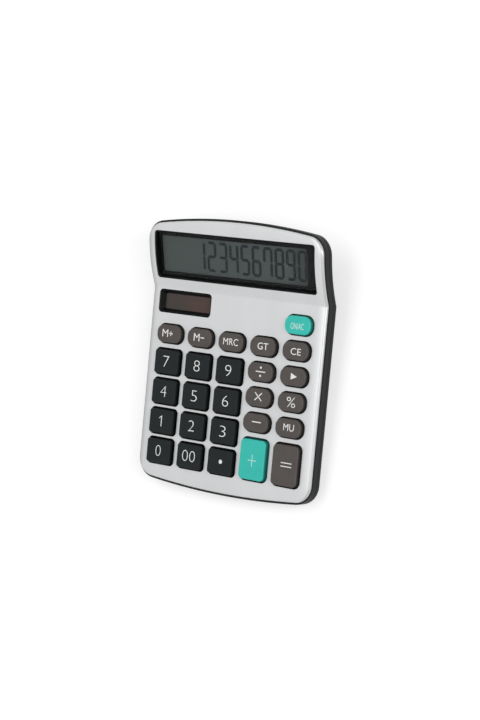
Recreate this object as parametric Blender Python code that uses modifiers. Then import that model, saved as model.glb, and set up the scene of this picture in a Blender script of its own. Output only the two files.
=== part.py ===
"""Desk calculator: a silver face plate over a two-part black housing, with a raised display,
a solar cell, twenty-six sprung keys on a rubber dome sheet and one battery under a sliding door.

The keyboard lies in a plane of its own, tilted towards the user. Its frame has x to the right,
y towards the display and z out of the face, with zero at the middle of the number keys.
Lengths along the face are measured from the kink between keyboard and display.
"""

import math

import bmesh
import bpy
from mathutils import Matrix, Vector

# Case outline, seen square to the face
HALF_WIDTH = 0.0587
FRONT_REACH = 0.10885
REAR_REACH = 0.04185
FRONT_ARCH_RADIUS = 0.456
REAR_ARCH_RADIUS = 0.346
FRONT_CORNER_RADIUS = 0.011
REAR_CORNER_RADIUS = 0.0107

# Face profile, seen from the side
KEYBOARD_TILT = math.radians(4.0)
FRONT_HEIGHT = 0.0142
KINK_ANGLE = math.radians(27.8)
KINK_LENGTH = 0.0016
KINK_SHARES = (0.25, 0.75)
DISPLAY_ARC_RADIUS = 0.0843
DISPLAY_STRIPS = 8

# Face plate
PLATE_THICKNESS = 0.0006
PLATE_ROLL_RADIUS = 0.002
RIM_WIDTH = 0.0012
SIDE_RIM_WIDTH = 0.0005

# Housing
SEAT_GAP = 0.0003
DECK_THICKNESS = 0.0016
DECK_CORNER_WIDTH = 0.0005
DECK_CORNER_DROP = 0.001
WALL = 0.0022
SEAM_DEPTH = 0.006
LIP_HEIGHT = 0.0011
BAND_HEIGHT = 0.0085
SHELF = 0.0008
FOOT_HEIGHT = 0.001
FLOOR = 0.002
BASE_EDGE = 0.0008
HULL_SIDE_SLOPE = 0.68
HULL_END_SLOPE = 0.3

# Posts for the circuit board's screws
BOARD_POST_RADIUS = 0.0019
BOARD_POST_INSET = 0.0024
BOARD_SCREW_SHARES = (-0.82, -0.07, 0.68)

# Keys: five columns between the posts, and rows between the front edge and the kink
FLANGE_WIDTH = 0.00095
FLANGE_THICKNESS = 0.001
KEYS_POST_GAP = 0.000425
KEYS_SIDE = WALL + BOARD_POST_INSET + BOARD_POST_RADIUS + KEYS_POST_GAP + FLANGE_WIDTH
COLUMNS = 5
FIRST_COLUMN = -2
COLUMN_GAP = 0.0046
KEY_WIDTH = (2 * (HALF_WIDTH - KEYS_SIDE) - (COLUMNS - 1) * COLUMN_GAP) / COLUMNS
COLUMN_PITCH = KEY_WIDTH + COLUMN_GAP
KEYS_FRONT = 0.01175
KEYS_REAR = 0.00641
KEYS_LENGTH = FRONT_REACH - KEYS_FRONT - KEYS_REAR
FUNCTION_KEYS = 5
FUNCTION_GAP = 0.00344
TALL_GAP = 0.0037
TALL_EXTRA = 0.0018
FUNCTION_GAPS = (FUNCTION_KEYS - 1) * FUNCTION_GAP
FUNCTION_LENGTH = (KEYS_LENGTH - TALL_GAP - TALL_EXTRA - FUNCTION_GAPS) / (FUNCTION_KEYS + 2)
TALL_LENGTH = 2 * FUNCTION_LENGTH + TALL_EXTRA
FUNCTION_PITCH = FUNCTION_LENGTH + FUNCTION_GAP
MEMORY_GAP = 0.00365
DIGIT_KEYS = 4
DIGIT_GAP = 0.00293
DIGITS_LENGTH = TALL_LENGTH + TALL_GAP + (FUNCTION_KEYS - 2) * FUNCTION_PITCH - MEMORY_GAP
DIGIT_LENGTH = (DIGITS_LENGTH - (DIGIT_KEYS - 1) * DIGIT_GAP) / DIGIT_KEYS
DIGIT_PITCH = DIGIT_LENGTH + DIGIT_GAP
KINK_Y = KEYS_LENGTH - DIGITS_LENGTH / 2 + KEYS_REAR
DIGIT_CORNER = 0.00165
FUNCTION_FLAT_END = 0.00065
FUNCTION_CORNER = FUNCTION_LENGTH / 2 - FUNCTION_FLAT_END
TALL_CORNER = 0.00275
KEY_CLEARANCE = 0.0005
KEY_HEIGHT = 0.0026
KEY_EDGE = 0.0006
KEY_DRAFT = 0.00022
KEY_TRAVEL = 0.0015

# Key guides under the deck
GUIDE_THICKNESS = 0.0012
GUIDE_END_SPACE = 0.0006

# Dome sheet and circuit board
DOME_RADIUS = 0.003
DOME_TOP_SHARE = 0.7
DOME_HEIGHT = 0.0018
SHEET_THICKNESS = 0.0008
SHEET_MARGIN = 0.0001
BOARD_THICKNESS = 0.0012
BOARD_CLEARANCE = 0.0009
BOARD_CORNER = 0.0015
CHIP_RADIUS = 0.0055
CHIP_HEIGHT = 0.0013

# Display
DISPLAY_SIDE = 0.0053
DISPLAY_HALF_WIDTH = HALF_WIDTH - DISPLAY_SIDE
DISPLAY_START = 0.00585
DISPLAY_REAR = 0.00912
DISPLAY_END = REAR_REACH - DISPLAY_REAR
DISPLAY_CORNER = 0.0018
BEZEL_CLEARANCE = 0.00035
BEZEL_RECESS = 0.0005
BEZEL_LIP = 0.0006
FUNNEL_INSET = 0.0013
FUNNEL_DEPTH = 0.0016
WINDOW_THICKNESS = 0.0008
LEDGE_THICKNESS = 0.0006
VIEW_SIDE_INSET = 0.0024
VIEW_END_INSET = 0.0033
LCD_BORDER = 0.002
LCD_THICKNESS = 0.0022
SKIRT_WALL = 0.0012
SKIRT_CORNER = 0.003
LCD_CORNER = 0.0009
BEZEL_FLANGE = 0.0009
BEZEL_FLANGE_CORNER = 0.004
BEZEL_FLANGE_THICKNESS = 0.0011
RIBBON_SIDE = 0.013
RIBBON_BAY_GAP = 0.0016
RIBBON_THICKNESS = 0.00035
RIBBON_LAP = 0.004

# Solar cell, between the case's side and a screw boss
SOLAR_SIDE = 0.0055
SOLAR_BOSS_GAP = 0.0016
SOLAR_LENGTH = 0.013
SOLAR_REAR = 0.0008
SOLAR_CORNER = 0.0022
SOLAR_FRAME = 0.0019
SOLAR_FLANGE = 0.0009
SOLAR_DEPTH = 0.0029
CELL_LAP = 0.0007
CELL_THICKNESS = 0.0011

# Battery bay and door
BATTERY_RADIUS = 0.00715
BATTERY_LENGTH = 0.0492
BATTERY_NUB_RADIUS = 0.0027
BATTERY_NUB_LENGTH = 0.0013
BATTERY_SETBACK = 0.0135
BATTERY_CLEARANCE = 0.0005
SPRING_SPACE = 0.0052
SPRING_WIRE = 0.0007
SPRING_TURNS = 3
SPRING_LARGE_RADIUS = 0.0045
SPRING_SMALL_RADIUS = 0.0026
CONTACT_THICKNESS = 0.0005
CONTACT_SIZE = 0.0105
BAY_WALL = 0.0012
DOOR_MARGIN = 0.0006
DOOR_FRONT_MARGIN = 0.0016
DOOR_TONGUE = 0.0014
DOOR_LIP = 0.0009
DOOR_CORNER = 0.0012
GRIP_GROOVES = 4
GRIP_SETBACK = 0.0032
GRIP_WIDTH = 0.015
GRIP_PITCH = 0.0016
GRIP_DEPTH = 0.0005

# Screws and feet
SCREW_SHANK = 0.00085
SCREW_HEAD_RADIUS = 0.0018
SCREW_HEAD_HEIGHT = 0.0012
SCREW_GRIP = 0.0028
SCREW_BITE = 0.0036
SCREW_CLEARANCE = 0.0003
UPPER_BOSS_RADIUS = 0.0019
LOWER_BOSS_RADIUS = 0.0029
BOSS_SHARE = 0.5
FRONT_SCREW_X = 0.030
FRONT_SCREW_INSET = 0.0064
MID_SCREW_X = 0.0135
MID_SCREW_SETBACK = 0.00275
SMALL_SHANK = 0.0007
SMALL_HEAD_RADIUS = 0.0014
SMALL_HEAD_HEIGHT = 0.0008
FOOT_RADIUS = 0.004
FOOT_RECESS = 0.0008
FOOT_EDGE = 0.0004
FRONT_FOOT_SIDE = 0.0135
FRONT_FOOT_INSET = 0.0125
REAR_FOOT_SIDE = 0.0155
REAR_FOOT_SPACE = 0.0013

SOLAR_LEFT = SOLAR_SIDE - HALF_WIDTH
SOLAR_RIGHT = -MID_SCREW_X - UPPER_BOSS_RADIUS - SOLAR_BOSS_GAP
SOLAR_SIZE = (SOLAR_RIGHT - SOLAR_LEFT, SOLAR_LENGTH)
SOLAR_X = (SOLAR_RIGHT + SOLAR_LEFT) / 2

OVERRUN = 0.001
MERGE_DISTANCE = 0.00001
SHARP_ANGLE = math.radians(35)
PLATE_SHARP_ANGLE = math.radians(25)
CORNER_STEPS = 2
PILL_STEPS = 3
EDGE_STEPS = 2
CHIP_STEPS = 3
ROLL_STEPS = 2
ARCH_STEPS = 4
CASE_CORNER_STEPS = 4
ROUND_STEPS = 20
SMALL_ROUND_STEPS = 8

DIGIT, FUNCTION, TALL = "digit", "function", "tall"
KEY_SHAPES = {
    DIGIT: ((KEY_WIDTH, DIGIT_LENGTH), DIGIT_CORNER, CORNER_STEPS),
    FUNCTION: ((KEY_WIDTH, FUNCTION_LENGTH), FUNCTION_CORNER, PILL_STEPS),
    TALL: ((KEY_WIDTH, TALL_LENGTH), TALL_CORNER, CORNER_STEPS),
}
DIGIT_ROWS = (
    ("key_7", "key_8", "key_9"),
    ("key_4", "key_5", "key_6"),
    ("key_1", "key_2", "key_3"),
    ("key_0", "key_00", "key_point"),
)
# Rows of function keys from the front: name and column, counted from the middle column
FUNCTION_ROWS = (
    (("key_minus", 1), ("key_mark_up", 2)),
    (("key_multiply", 1), ("key_percent", 2)),
    (("key_divide", 1), ("key_backspace", 2)),
    (
        ("key_memory_plus", -2),
        ("key_memory_minus", -1),
        ("key_memory_recall", 0),
        ("key_grand_total", 1),
        ("key_clear_entry", 2),
    ),
    (("key_on", 2),),
)
TEAL_KEYS = ("key_on", "key_plus")

# Heights in the keyboard's frame, all below the face
DECK_TOP = -(PLATE_THICKNESS + SEAT_GAP)
DECK_BOTTOM = DECK_TOP - DECK_THICKNESS
RIM_TOP = -(PLATE_ROLL_RADIUS + SEAT_GAP)
FLANGE_TOP = DECK_BOTTOM - SEAT_GAP
FLANGE_BOTTOM = FLANGE_TOP - FLANGE_THICKNESS
DOME_TOP = FLANGE_BOTTOM - SEAT_GAP
SHEET_TOP = DOME_TOP - DOME_HEIGHT
SHEET_BOTTOM = SHEET_TOP - SHEET_THICKNESS
BOARD_TOP = SHEET_BOTTOM - SEAT_GAP
BOARD_BOTTOM = BOARD_TOP - BOARD_THICKNESS
BASE_Z = FOOT_HEIGHT
FLOOR_Z = BASE_Z + FLOOR


def clear_scene():
    for thing in list(bpy.data.objects):
        bpy.data.objects.remove(thing, do_unlink=True)
    for collection in list(bpy.data.collections):
        bpy.data.collections.remove(collection)


def new_collection(name, hidden=False):
    collection = bpy.data.collections.new(name)
    bpy.context.scene.collection.children.link(collection)
    collection.hide_render = hidden
    return collection


clear_scene()
PARTS = new_collection("desk_calculator")
CUTTERS = new_collection("cutters", hidden=True)


def finish(name, colour, roughness, metallic=0.0, alpha=1.0):
    material = bpy.data.materials.new(name)
    material.use_nodes = True
    shader = material.node_tree.nodes["Principled BSDF"]
    shader.inputs["Base Color"].default_value = (*colour, 1.0)
    shader.inputs["Roughness"].default_value = roughness
    shader.inputs["Metallic"].default_value = metallic
    shader.inputs["Alpha"].default_value = alpha
    return material


FINISHES = {
    "silver": finish("silver_plate", (0.63, 0.65, 0.66), 0.32, 0.85),
    "black": finish("black_housing", (0.03, 0.032, 0.033), 0.5),
    "bezel": finish("bezel_black", (0.012, 0.014, 0.014), 0.3),
    "window": finish("clear_window", (0.85, 0.9, 0.9), 0.05, alpha=0.25),
    "lcd": finish("lcd_glass", (0.075, 0.09, 0.085), 0.25),
    "cell": finish("solar_cell_brown", (0.075, 0.042, 0.03), 0.2),
    "digit": finish("charcoal_key", (0.02, 0.024, 0.027), 0.42),
    "function": finish("brown_grey_key", (0.105, 0.085, 0.075), 0.42),
    "teal": finish("teal_key", (0.045, 0.52, 0.43), 0.42),
    "rubber": finish("dome_rubber", (0.55, 0.55, 0.53), 0.8),
    "foot": finish("foot_rubber", (0.02, 0.02, 0.02), 0.85),
    "board": finish("board_green", (0.02, 0.16, 0.06), 0.5),
    "epoxy": finish("chip_epoxy", (0.01, 0.01, 0.01), 0.4),
    "ribbon": finish("ribbon_film", (0.35, 0.18, 0.05), 0.4),
    "steel": finish("screw_steel", (0.55, 0.55, 0.55), 0.3, 1.0),
    "spring": finish("contact_metal", (0.7, 0.7, 0.68), 0.25, 1.0),
    "cell_case": finish("battery_case", (0.3, 0.32, 0.33), 0.35, 0.4),
}


def new_object(name, mesh, material=None, matrix=None, hidden=False):
    """An object in the parts collection or, when hidden, among the cutters."""
    thing = bpy.data.objects.new(name, mesh)
    (CUTTERS if hidden else PARTS).objects.link(thing)
    if hidden:
        thing.hide_render = True
        thing.display_type = "WIRE"
    if material:
        mesh.materials.append(FINISHES[material])
    if matrix is not None:
        thing.matrix_world = matrix
    return thing


def mesh_of(name, shape):
    bmesh.ops.recalc_face_normals(shape, faces=shape.faces)
    mesh = bpy.data.meshes.new(name)
    shape.to_mesh(mesh)
    shape.free()
    return mesh


def realised(thing):
    """The object's mesh with its modifiers applied."""
    bpy.context.view_layer.update()
    graph = bpy.context.evaluated_depsgraph_get()
    return bpy.data.meshes.new_from_object(thing.evaluated_get(graph))


def boolean(thing, other, operation="DIFFERENCE"):
    modifier = thing.modifiers.new(f"{operation.lower()}_{other.name}", "BOOLEAN")
    modifier.operation = operation
    modifier.solver = "EXACT"
    modifier.object = other
    return thing


def smooth(thing, angle=SHARP_ANGLE):
    thing.data.shade_smooth()
    thing.data.set_sharp_from_angle(angle=angle)
    return thing


def rounded(half_x, half_y, radius, steps, side_steps=1):
    """A rounded rectangle's points, anticlockwise from its front right corner."""
    points = []
    for corner, (sign_x, sign_y) in enumerate(((1, -1), (1, 1), (-1, 1), (-1, -1))):
        centre = Vector((sign_x * (half_x - radius), sign_y * (half_y - radius)))
        for step in range(steps + 1):
            turn = math.pi / 2 * (corner - 1 + step / steps)
            points.append(centre + radius * Vector((math.cos(turn), math.sin(turn))))
        if corner in (0, 2):
            start, reach = points[-1], -sign_y * 2 * (half_y - radius)
            for step in range(1, side_steps):
                points.append(start + Vector((0, reach * step / side_steps)))
    return points


def loft(name, rings, closed=False):
    """Skins a stack of rings with equal numbers of points, and caps its ends or joins them."""
    shape = bmesh.new()
    loops = [[shape.verts.new(point) for point in ring] for ring in rings]
    pairs = list(zip(loops, loops[1:]))
    if closed:
        pairs.append((loops[-1], loops[0]))
    else:
        shape.faces.new(loops[0])
        shape.faces.new(loops[-1])
    for lower, upper in pairs:
        for i in range(len(lower)):
            shape.faces.new((lower[i - 1], lower[i], upper[i], upper[i - 1]))
    return mesh_of(name, shape)


def box(name, low, high, matrix=None):
    """A hidden box between two corners, for cutting or joining."""
    shape = bmesh.new()
    bmesh.ops.create_cube(shape, size=1)
    bmesh.ops.scale(shape, vec=Vector(high) - Vector(low), verts=shape.verts)
    bmesh.ops.translate(shape, vec=(Vector(high) + Vector(low)) / 2, verts=shape.verts)
    return new_object(name, mesh_of(name, shape), matrix=matrix, hidden=True)


def cylinder(name, radius, low, high, matrix=None, steps=ROUND_STEPS, top_radius=None):
    """A hidden upright cylinder or cone between two points on its axis."""
    shape = bmesh.new()
    bmesh.ops.create_cone(
        shape,
        cap_ends=True,
        segments=steps,
        radius1=radius,
        radius2=radius if top_radius is None else top_radius,
        depth=high[2] - low[2],
    )
    bmesh.ops.translate(shape, vec=(Vector(high) + Vector(low)) / 2, verts=shape.verts)
    return new_object(name, mesh_of(name, shape), matrix=matrix, hidden=True)


def turned(name, profile, material, matrix, steps=ROUND_STEPS):
    """A round piece: its profile, from the top down its outer side, turned about z."""
    shape = bmesh.new()
    points = [shape.verts.new((radius, 0, height)) for radius, height in profile]
    for upper, lower in zip(points, points[1:]):
        shape.edges.new((upper, lower))
    mesh = bpy.data.meshes.new(name)
    shape.to_mesh(mesh)
    shape.free()
    thing = new_object(name, mesh, material, matrix)
    screw = thing.modifiers.new("turn", "SCREW")
    screw.steps = steps
    screw.render_steps = steps
    screw.use_merge_vertices = True
    screw.merge_threshold = MERGE_DISTANCE
    return thing


def face_turns():
    """Arc length and turn of each stretch of the face behind the kink's start."""
    half = KINK_LENGTH / 2
    rear = REAR_REACH
    turns = [(-half, 0, KINK_ANGLE * KINK_SHARES[0]), (0, half, KINK_ANGLE * KINK_SHARES[1])]
    strip = (rear - half) / DISPLAY_STRIPS
    for i in range(DISPLAY_STRIPS):
        start = half + i * strip
        middle = start + strip / 2
        turns.append((start, start + strip, KINK_ANGLE - middle / DISPLAY_ARC_RADIUS))
    return turns


def face_table():
    """Points of the face's side view as (length from the kink, y, z) in the keyboard's frame."""
    table = [(-KINK_LENGTH / 2, KINK_Y - KINK_LENGTH / 2, 0.0)]
    for start, end, turn in face_turns():
        _, y, z = table[-1]
        run = end - start
        table.append((end, y + run * math.cos(turn), z + run * math.sin(turn)))
    return table


FACE = face_table()
STRIP_EDGES = [row[0] for row in FACE]


def face_point(reach):
    """(y, z) on the face at this length from the kink."""
    if reach <= FACE[0][0]:
        return KINK_Y + reach, 0.0
    for before, after in zip(FACE, FACE[1:]):
        if reach <= after[0] or after is FACE[-1]:
            share = (reach - before[0]) / (after[0] - before[0])
            y = before[1] + share * (after[1] - before[1])
            return y, before[2] + share * (after[2] - before[2])


def bent(point):
    """A point of the flat layout, laid along the face."""
    y, z = face_point(point[1])
    return Vector((point[0], y, z + point[2]))


def in_strips(mesh):
    """Cuts a flat mesh across at each strip's edge, so that its faces stay flat when it is bent."""
    shape = bmesh.new()
    shape.from_mesh(mesh)
    for edge in STRIP_EDGES[:-1]:
        everything = [*shape.verts, *shape.edges, *shape.faces]
        bmesh.ops.bisect_plane(shape, geom=everything, plane_co=(0, edge, 0), plane_no=(0, 1, 0))
    shape.to_mesh(mesh)
    shape.free()
    return mesh


def bend_mesh(mesh):
    for vertex in mesh.vertices:
        vertex.co = bent(vertex.co)
    return mesh


def corner_arc(arch_centre, arch_radius, corner_radius, side):
    """Centre and start angle of a case corner between a straight side and an arch."""
    across = HALF_WIDTH - corner_radius
    along = math.sqrt((arch_radius - corner_radius) ** 2 - across**2)
    return Vector((across, arch_centre + side * along)), math.atan2(along, across)


def case_outline():
    """Points and inward directions of the case, anticlockwise, in the flat layout."""
    half = []
    front = -FRONT_REACH + FRONT_ARCH_RADIUS
    rear = REAR_REACH - REAR_ARCH_RADIUS
    corner, turn = corner_arc(front, FRONT_ARCH_RADIUS, FRONT_CORNER_RADIUS, -1)
    for step in range(ARCH_STEPS):
        angle = -math.pi / 2 + step / ARCH_STEPS * (math.pi / 2 - turn)
        half.append((Vector((0, front)), FRONT_ARCH_RADIUS, angle))
    for step in range(CASE_CORNER_STEPS + 1):
        half.append((corner, FRONT_CORNER_RADIUS, -turn * (1 - step / CASE_CORNER_STEPS)))
    front_end = corner.y
    corner, turn = corner_arc(rear, REAR_ARCH_RADIUS, REAR_CORNER_RADIUS, 1)
    for edge in STRIP_EDGES:
        if front_end < edge < corner.y:
            half.append((Vector((HALF_WIDTH - REAR_CORNER_RADIUS, edge)), REAR_CORNER_RADIUS, 0))
    for step in range(CASE_CORNER_STEPS + 1):
        half.append((corner, REAR_CORNER_RADIUS, turn * step / CASE_CORNER_STEPS))
    for step in range(1, ARCH_STEPS + 1):
        angle = turn + step / ARCH_STEPS * (math.pi / 2 - turn)
        half.append((Vector((0, rear)), REAR_ARCH_RADIUS, angle))
    points = []
    for centre, radius, angle in half:
        outward = Vector((math.cos(angle), math.sin(angle)))
        points.append((centre + radius * outward, -outward))
    mirrored = [(Vector((-p.x, p.y)), Vector((-n.x, n.y))) for p, n in reversed(points[1:-1])]
    return points + mirrored


OUTLINE = case_outline()
REAR_INDEX = max(range(len(OUTLINE)), key=lambda i: OUTLINE[i][0].y)


def outline_ring(inset, height):
    """The case outline drawn in by inset, in the flat layout."""
    return [Vector((*(point + inset * inward), height)) for point, inward in OUTLINE]


def plate_ring(inset, height):
    """A ring of the face plate, which leaves less of a rim at the case's sides than at its ends."""
    spread = (HALF_WIDTH - SIDE_RIM_WIDTH) / (HALF_WIDTH - RIM_WIDTH)
    return [Vector((point.x * spread, point.y, point.z)) for point in outline_ring(inset, height)]


def keyboard_matrix():
    """Sets the keyboard's frame so that the case stands centred over the origin on its feet."""
    sine, cosine = math.sin(KEYBOARD_TILT), math.cos(KEYBOARD_TILT)
    front_y = KINK_Y - FRONT_REACH
    rear_y, rear_z = face_point(REAR_REACH)
    foremost = front_y * cosine - RIM_TOP * sine
    rearmost = rear_y * cosine - (rear_z - BAND_HEIGHT) * sine
    shift = Vector((0, -(foremost + rearmost) / 2, FRONT_HEIGHT - front_y * sine))
    return Matrix.Translation(shift) @ Matrix.Rotation(KEYBOARD_TILT, 4, "X")


KEYBOARD = keyboard_matrix()


def base_height(y):
    """Height of the case's underside in the keyboard's frame, below this y."""
    lift = KEYBOARD.translation.z + y * math.sin(KEYBOARD_TILT)
    return (BASE_Z - lift) / math.cos(KEYBOARD_TILT)


def display_matrix():
    """The flat of the display: its middle and slope, on the chord under the arched face."""
    start, end = Vector(face_point(DISPLAY_START)), Vector(face_point(DISPLAY_END))
    chord = end - start
    middle = (start + end) / 2
    turn = Matrix.Rotation(math.atan2(chord.y, chord.x), 4, "X")
    return Matrix.Translation((0, middle.x, middle.y)) @ turn, chord.length / 2


DISPLAY, DISPLAY_HALF_LENGTH = display_matrix()
DISPLAY_MIDDLE = (DISPLAY_START + DISPLAY_END) / 2
DISPLAY_HALF_REACH = (DISPLAY_END - DISPLAY_START) / 2
SOLAR_MIDDLE = -SOLAR_REAR - SOLAR_SIZE[1] / 2


def key_layout():
    """Each key's name, shape and middle, in the keyboard's frame."""
    keys = []
    for row, names in enumerate(DIGIT_ROWS):
        y = ((DIGIT_KEYS - 1) / 2 - row) * DIGIT_PITCH
        for column, name in enumerate(names):
            keys.append((name, DIGIT, Vector(((FIRST_COLUMN + column) * COLUMN_PITCH, y, 0))))
    tall_y = (TALL_LENGTH - DIGITS_LENGTH) / 2
    for name, column in (("key_plus", 1), ("key_equals", 2)):
        keys.append((name, TALL, Vector((column * COLUMN_PITCH, tall_y, 0))))
    first = tall_y + (TALL_LENGTH + FUNCTION_LENGTH) / 2 + TALL_GAP
    for row, names in enumerate(FUNCTION_ROWS):
        y = first + row * FUNCTION_PITCH
        for name, column in names:
            keys.append((name, FUNCTION, Vector((column * COLUMN_PITCH, y, 0))))
    return keys


KEYS = key_layout()


def key_extent(axis, sign):
    """The furthest reach of any key's flange along an axis."""
    reaches = []
    for _, shape, middle in KEYS:
        half = KEY_SHAPES[shape][0][axis] / 2 + FLANGE_WIDTH
        reaches.append(sign * middle[axis] + half)
    return sign * max(reaches)


SHEET_LOW = Vector((key_extent(0, -1) - SHEET_MARGIN, key_extent(1, -1) - SHEET_MARGIN))
SHEET_HIGH = Vector((key_extent(0, 1) + SHEET_MARGIN, key_extent(1, 1) + SHEET_MARGIN))


def opening_cutters():
    """The openings that the plate and the deck share, in the flat layout."""
    low, high = DECK_BOTTOM - OVERRUN, OVERRUN
    cutters = []
    for name, shape, middle in KEYS:
        size, radius, steps = KEY_SHAPES[shape]
        half = [side / 2 + KEY_CLEARANCE for side in size]
        ring = rounded(*half, radius + KEY_CLEARANCE, steps)
        cutters.append((f"{name}_opening", ring, middle.x, middle.y - KINK_Y))
    ring = rounded(DISPLAY_HALF_WIDTH, DISPLAY_HALF_REACH, DISPLAY_CORNER, CORNER_STEPS)
    cutters.append(("display_opening", ring, 0, DISPLAY_MIDDLE))
    ring = rounded(SOLAR_SIZE[0] / 2, SOLAR_SIZE[1] / 2, SOLAR_CORNER, CORNER_STEPS)
    cutters.append(("solar_opening", ring, SOLAR_X, SOLAR_MIDDLE))
    made = []
    for name, ring, x, y in cutters:
        rings = [[(p.x + x, p.y + y, height) for p in ring] for height in (low, high)]
        made.append(new_object(name, in_strips(loft(name, rings)), hidden=True))
    return made


def cut_openings(thing, openings):
    for opening in openings:
        boolean(thing, opening)


def make_face_plate(openings):
    """A thin sheet whose edge rolls over all round, bent at the kink and arched over the display."""
    rings = []
    inner_radius = PLATE_ROLL_RADIUS - PLATE_THICKNESS
    for step in range(ROLL_STEPS + 1):
        turn = math.pi / 2 * step / ROLL_STEPS
        inset = RIM_WIDTH + PLATE_ROLL_RADIUS * (1 - math.sin(turn))
        rings.append(plate_ring(inset, -PLATE_ROLL_RADIUS * (1 - math.cos(turn))))
    for step in range(ROLL_STEPS, -1, -1):
        turn = math.pi / 2 * step / ROLL_STEPS
        inset = RIM_WIDTH + PLATE_ROLL_RADIUS - inner_radius * math.sin(turn)
        rings.append(plate_ring(inset, -PLATE_ROLL_RADIUS + inner_radius * math.cos(turn)))
    sheet = in_strips(loft("face_plate_flat", rings))
    flat = new_object("face_plate_flat", sheet, hidden=True)
    cut_openings(flat, openings)
    mesh = bend_mesh(realised(flat))
    return smooth(new_object("face_plate", mesh, "silver", KEYBOARD), PLATE_SHARP_ANGLE)


def guide_ribs():
    """Ribs between the key columns, hanging from the deck."""
    low = FLANGE_BOTTOM - KEY_TRAVEL - SEAT_GAP
    front = SHEET_LOW.y - KINK_Y + GUIDE_END_SPACE
    memory_y = max(middle.y for name, _, middle in KEYS if name == "key_memory_plus")
    rear = memory_y + FUNCTION_LENGTH / 2 - KINK_Y
    ribs = []
    for column in range(COLUMNS - 1):
        x = (FIRST_COLUMN + column + 1 / 2) * COLUMN_PITCH
        corner = Vector((x - GUIDE_THICKNESS / 2, front, low))
        other = Vector((x + GUIDE_THICKNESS / 2, rear, DECK_BOTTOM + DECK_THICKNESS / 2))
        ribs.append(box(f"guide_rib_{column}", corner, other))
    return ribs


def board_screw_places():
    """Middles of the circuit board's screws, in the keyboard's frame."""
    x = HALF_WIDTH - WALL - BOARD_POST_INSET
    middle = (SHEET_LOW.y + SHEET_HIGH.y) / 2
    half = (SHEET_HIGH.y - SHEET_LOW.y) / 2
    return [
        Vector((side * x, middle + share * half, 0))
        for side in (-1, 1)
        for share in BOARD_SCREW_SHARES
    ]


def case_screw_places():
    """Middles of the case's four screws, in the keyboard's frame."""
    front_y = KINK_Y - FRONT_REACH + FRONT_SCREW_INSET
    return [
        Vector((side * x, y, 0))
        for x, y in ((FRONT_SCREW_X, front_y), (MID_SCREW_X, KINK_Y - MID_SCREW_SETBACK))
        for side in (-1, 1)
    ]


def boss_joint(place):
    """Height in the keyboard's frame at which the two halves of a screw boss meet."""
    bottom = base_height(place.y)
    return bottom + BOSS_SHARE * (DECK_BOTTOM - bottom)


def make_upper_housing(openings):
    """The moulded top half: a rimmed deck under the plate, with wells, ribs, posts and bosses."""
    half_wall = WALL / 2
    step_in = RIM_WIDTH + PLATE_ROLL_RADIUS
    rings = [
        plate_ring(step_in, DECK_TOP),
        plate_ring(step_in, RIM_TOP),
        outline_ring(0, RIM_TOP),
        outline_ring(0, -SEAM_DEPTH),
        outline_ring(half_wall, -SEAM_DEPTH),
        outline_ring(half_wall, -SEAM_DEPTH + LIP_HEIGHT + SEAT_GAP),
        outline_ring(WALL, -SEAM_DEPTH + LIP_HEIGHT + SEAT_GAP),
        outline_ring(WALL, DECK_BOTTOM - DECK_CORNER_DROP),
        plate_ring(step_in + DECK_CORNER_WIDTH, DECK_BOTTOM),
    ]
    shell = in_strips(loft("upper_housing_flat", rings))
    flat = new_object("upper_housing_flat", shell, hidden=True)
    inside = DECK_BOTTOM + DECK_THICKNESS / 2
    for rib in guide_ribs():
        boolean(flat, rib, "UNION")
    for i, place in enumerate(board_screw_places()):
        at = Vector((place.x, place.y - KINK_Y, 0))
        low = at + Vector((0, 0, BOARD_TOP + SEAT_GAP))
        post = cylinder(
            f"board_post_{i}", BOARD_POST_RADIUS, low, at + Vector((0, 0, inside)), steps=SMALL_ROUND_STEPS
        )
        boolean(flat, post, "UNION")
        hole_low = low - Vector((0, 0, OVERRUN))
        hole_top = at + Vector((0, 0, DECK_BOTTOM))
        radius = SMALL_SHANK + SCREW_CLEARANCE
        hole = cylinder(f"board_post_hole_{i}", radius, hole_low, hole_top, steps=SMALL_ROUND_STEPS)
        boolean(flat, hole)
    for i, place in enumerate(case_screw_places()):
        at = Vector((place.x, place.y - KINK_Y, 0))
        low = at + Vector((0, 0, boss_joint(place) + SEAT_GAP))
        boss = cylinder(
            f"upper_boss_{i}", UPPER_BOSS_RADIUS, low, at + Vector((0, 0, inside)), steps=SMALL_ROUND_STEPS
        )
        boolean(flat, boss, "UNION")
        hole_low = low - Vector((0, 0, OVERRUN))
        hole_top = low + Vector((0, 0, SCREW_BITE + SCREW_CLEARANCE))
        radius = SCREW_SHANK + SCREW_CLEARANCE
        hole = cylinder(f"upper_boss_hole_{i}", radius, hole_low, hole_top, steps=SMALL_ROUND_STEPS)
        boolean(flat, hole)
    cut_openings(flat, openings)
    mesh = bend_mesh(realised(flat))
    return smooth(new_object("upper_housing", mesh, "black", KEYBOARD))


def band_ring(inset, height):
    """A ring of the case that follows the face, in the world's frame."""
    return [KEYBOARD @ bent(point) for point in outline_ring(inset, height)]


def hull_ring(level, inset, from_inset=SHELF):
    """The underside's outline at a level, on straight lines from the band down to the base."""
    band = band_ring(from_inset, -BAND_HEIGHT)
    front, rear = band[0], band[REAR_INDEX]
    length = rear.y - front.y
    ends = [HULL_END_SLOPE * (point.z - BASE_Z) + inset for point in (front, rear)]
    ring = []
    for point in band:
        drop = point.z - BASE_Z
        side = HULL_SIDE_SLOPE * drop + inset
        along = (point.y - front.y) / length
        x = point.x * (1 - side / HALF_WIDTH)
        y = point.y + ends[0] * (1 - along) - ends[1] * along
        base = Vector((x, y, BASE_Z))
        ring.append(point.lerp(base, (point.z - level) / drop))
    return ring


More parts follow.
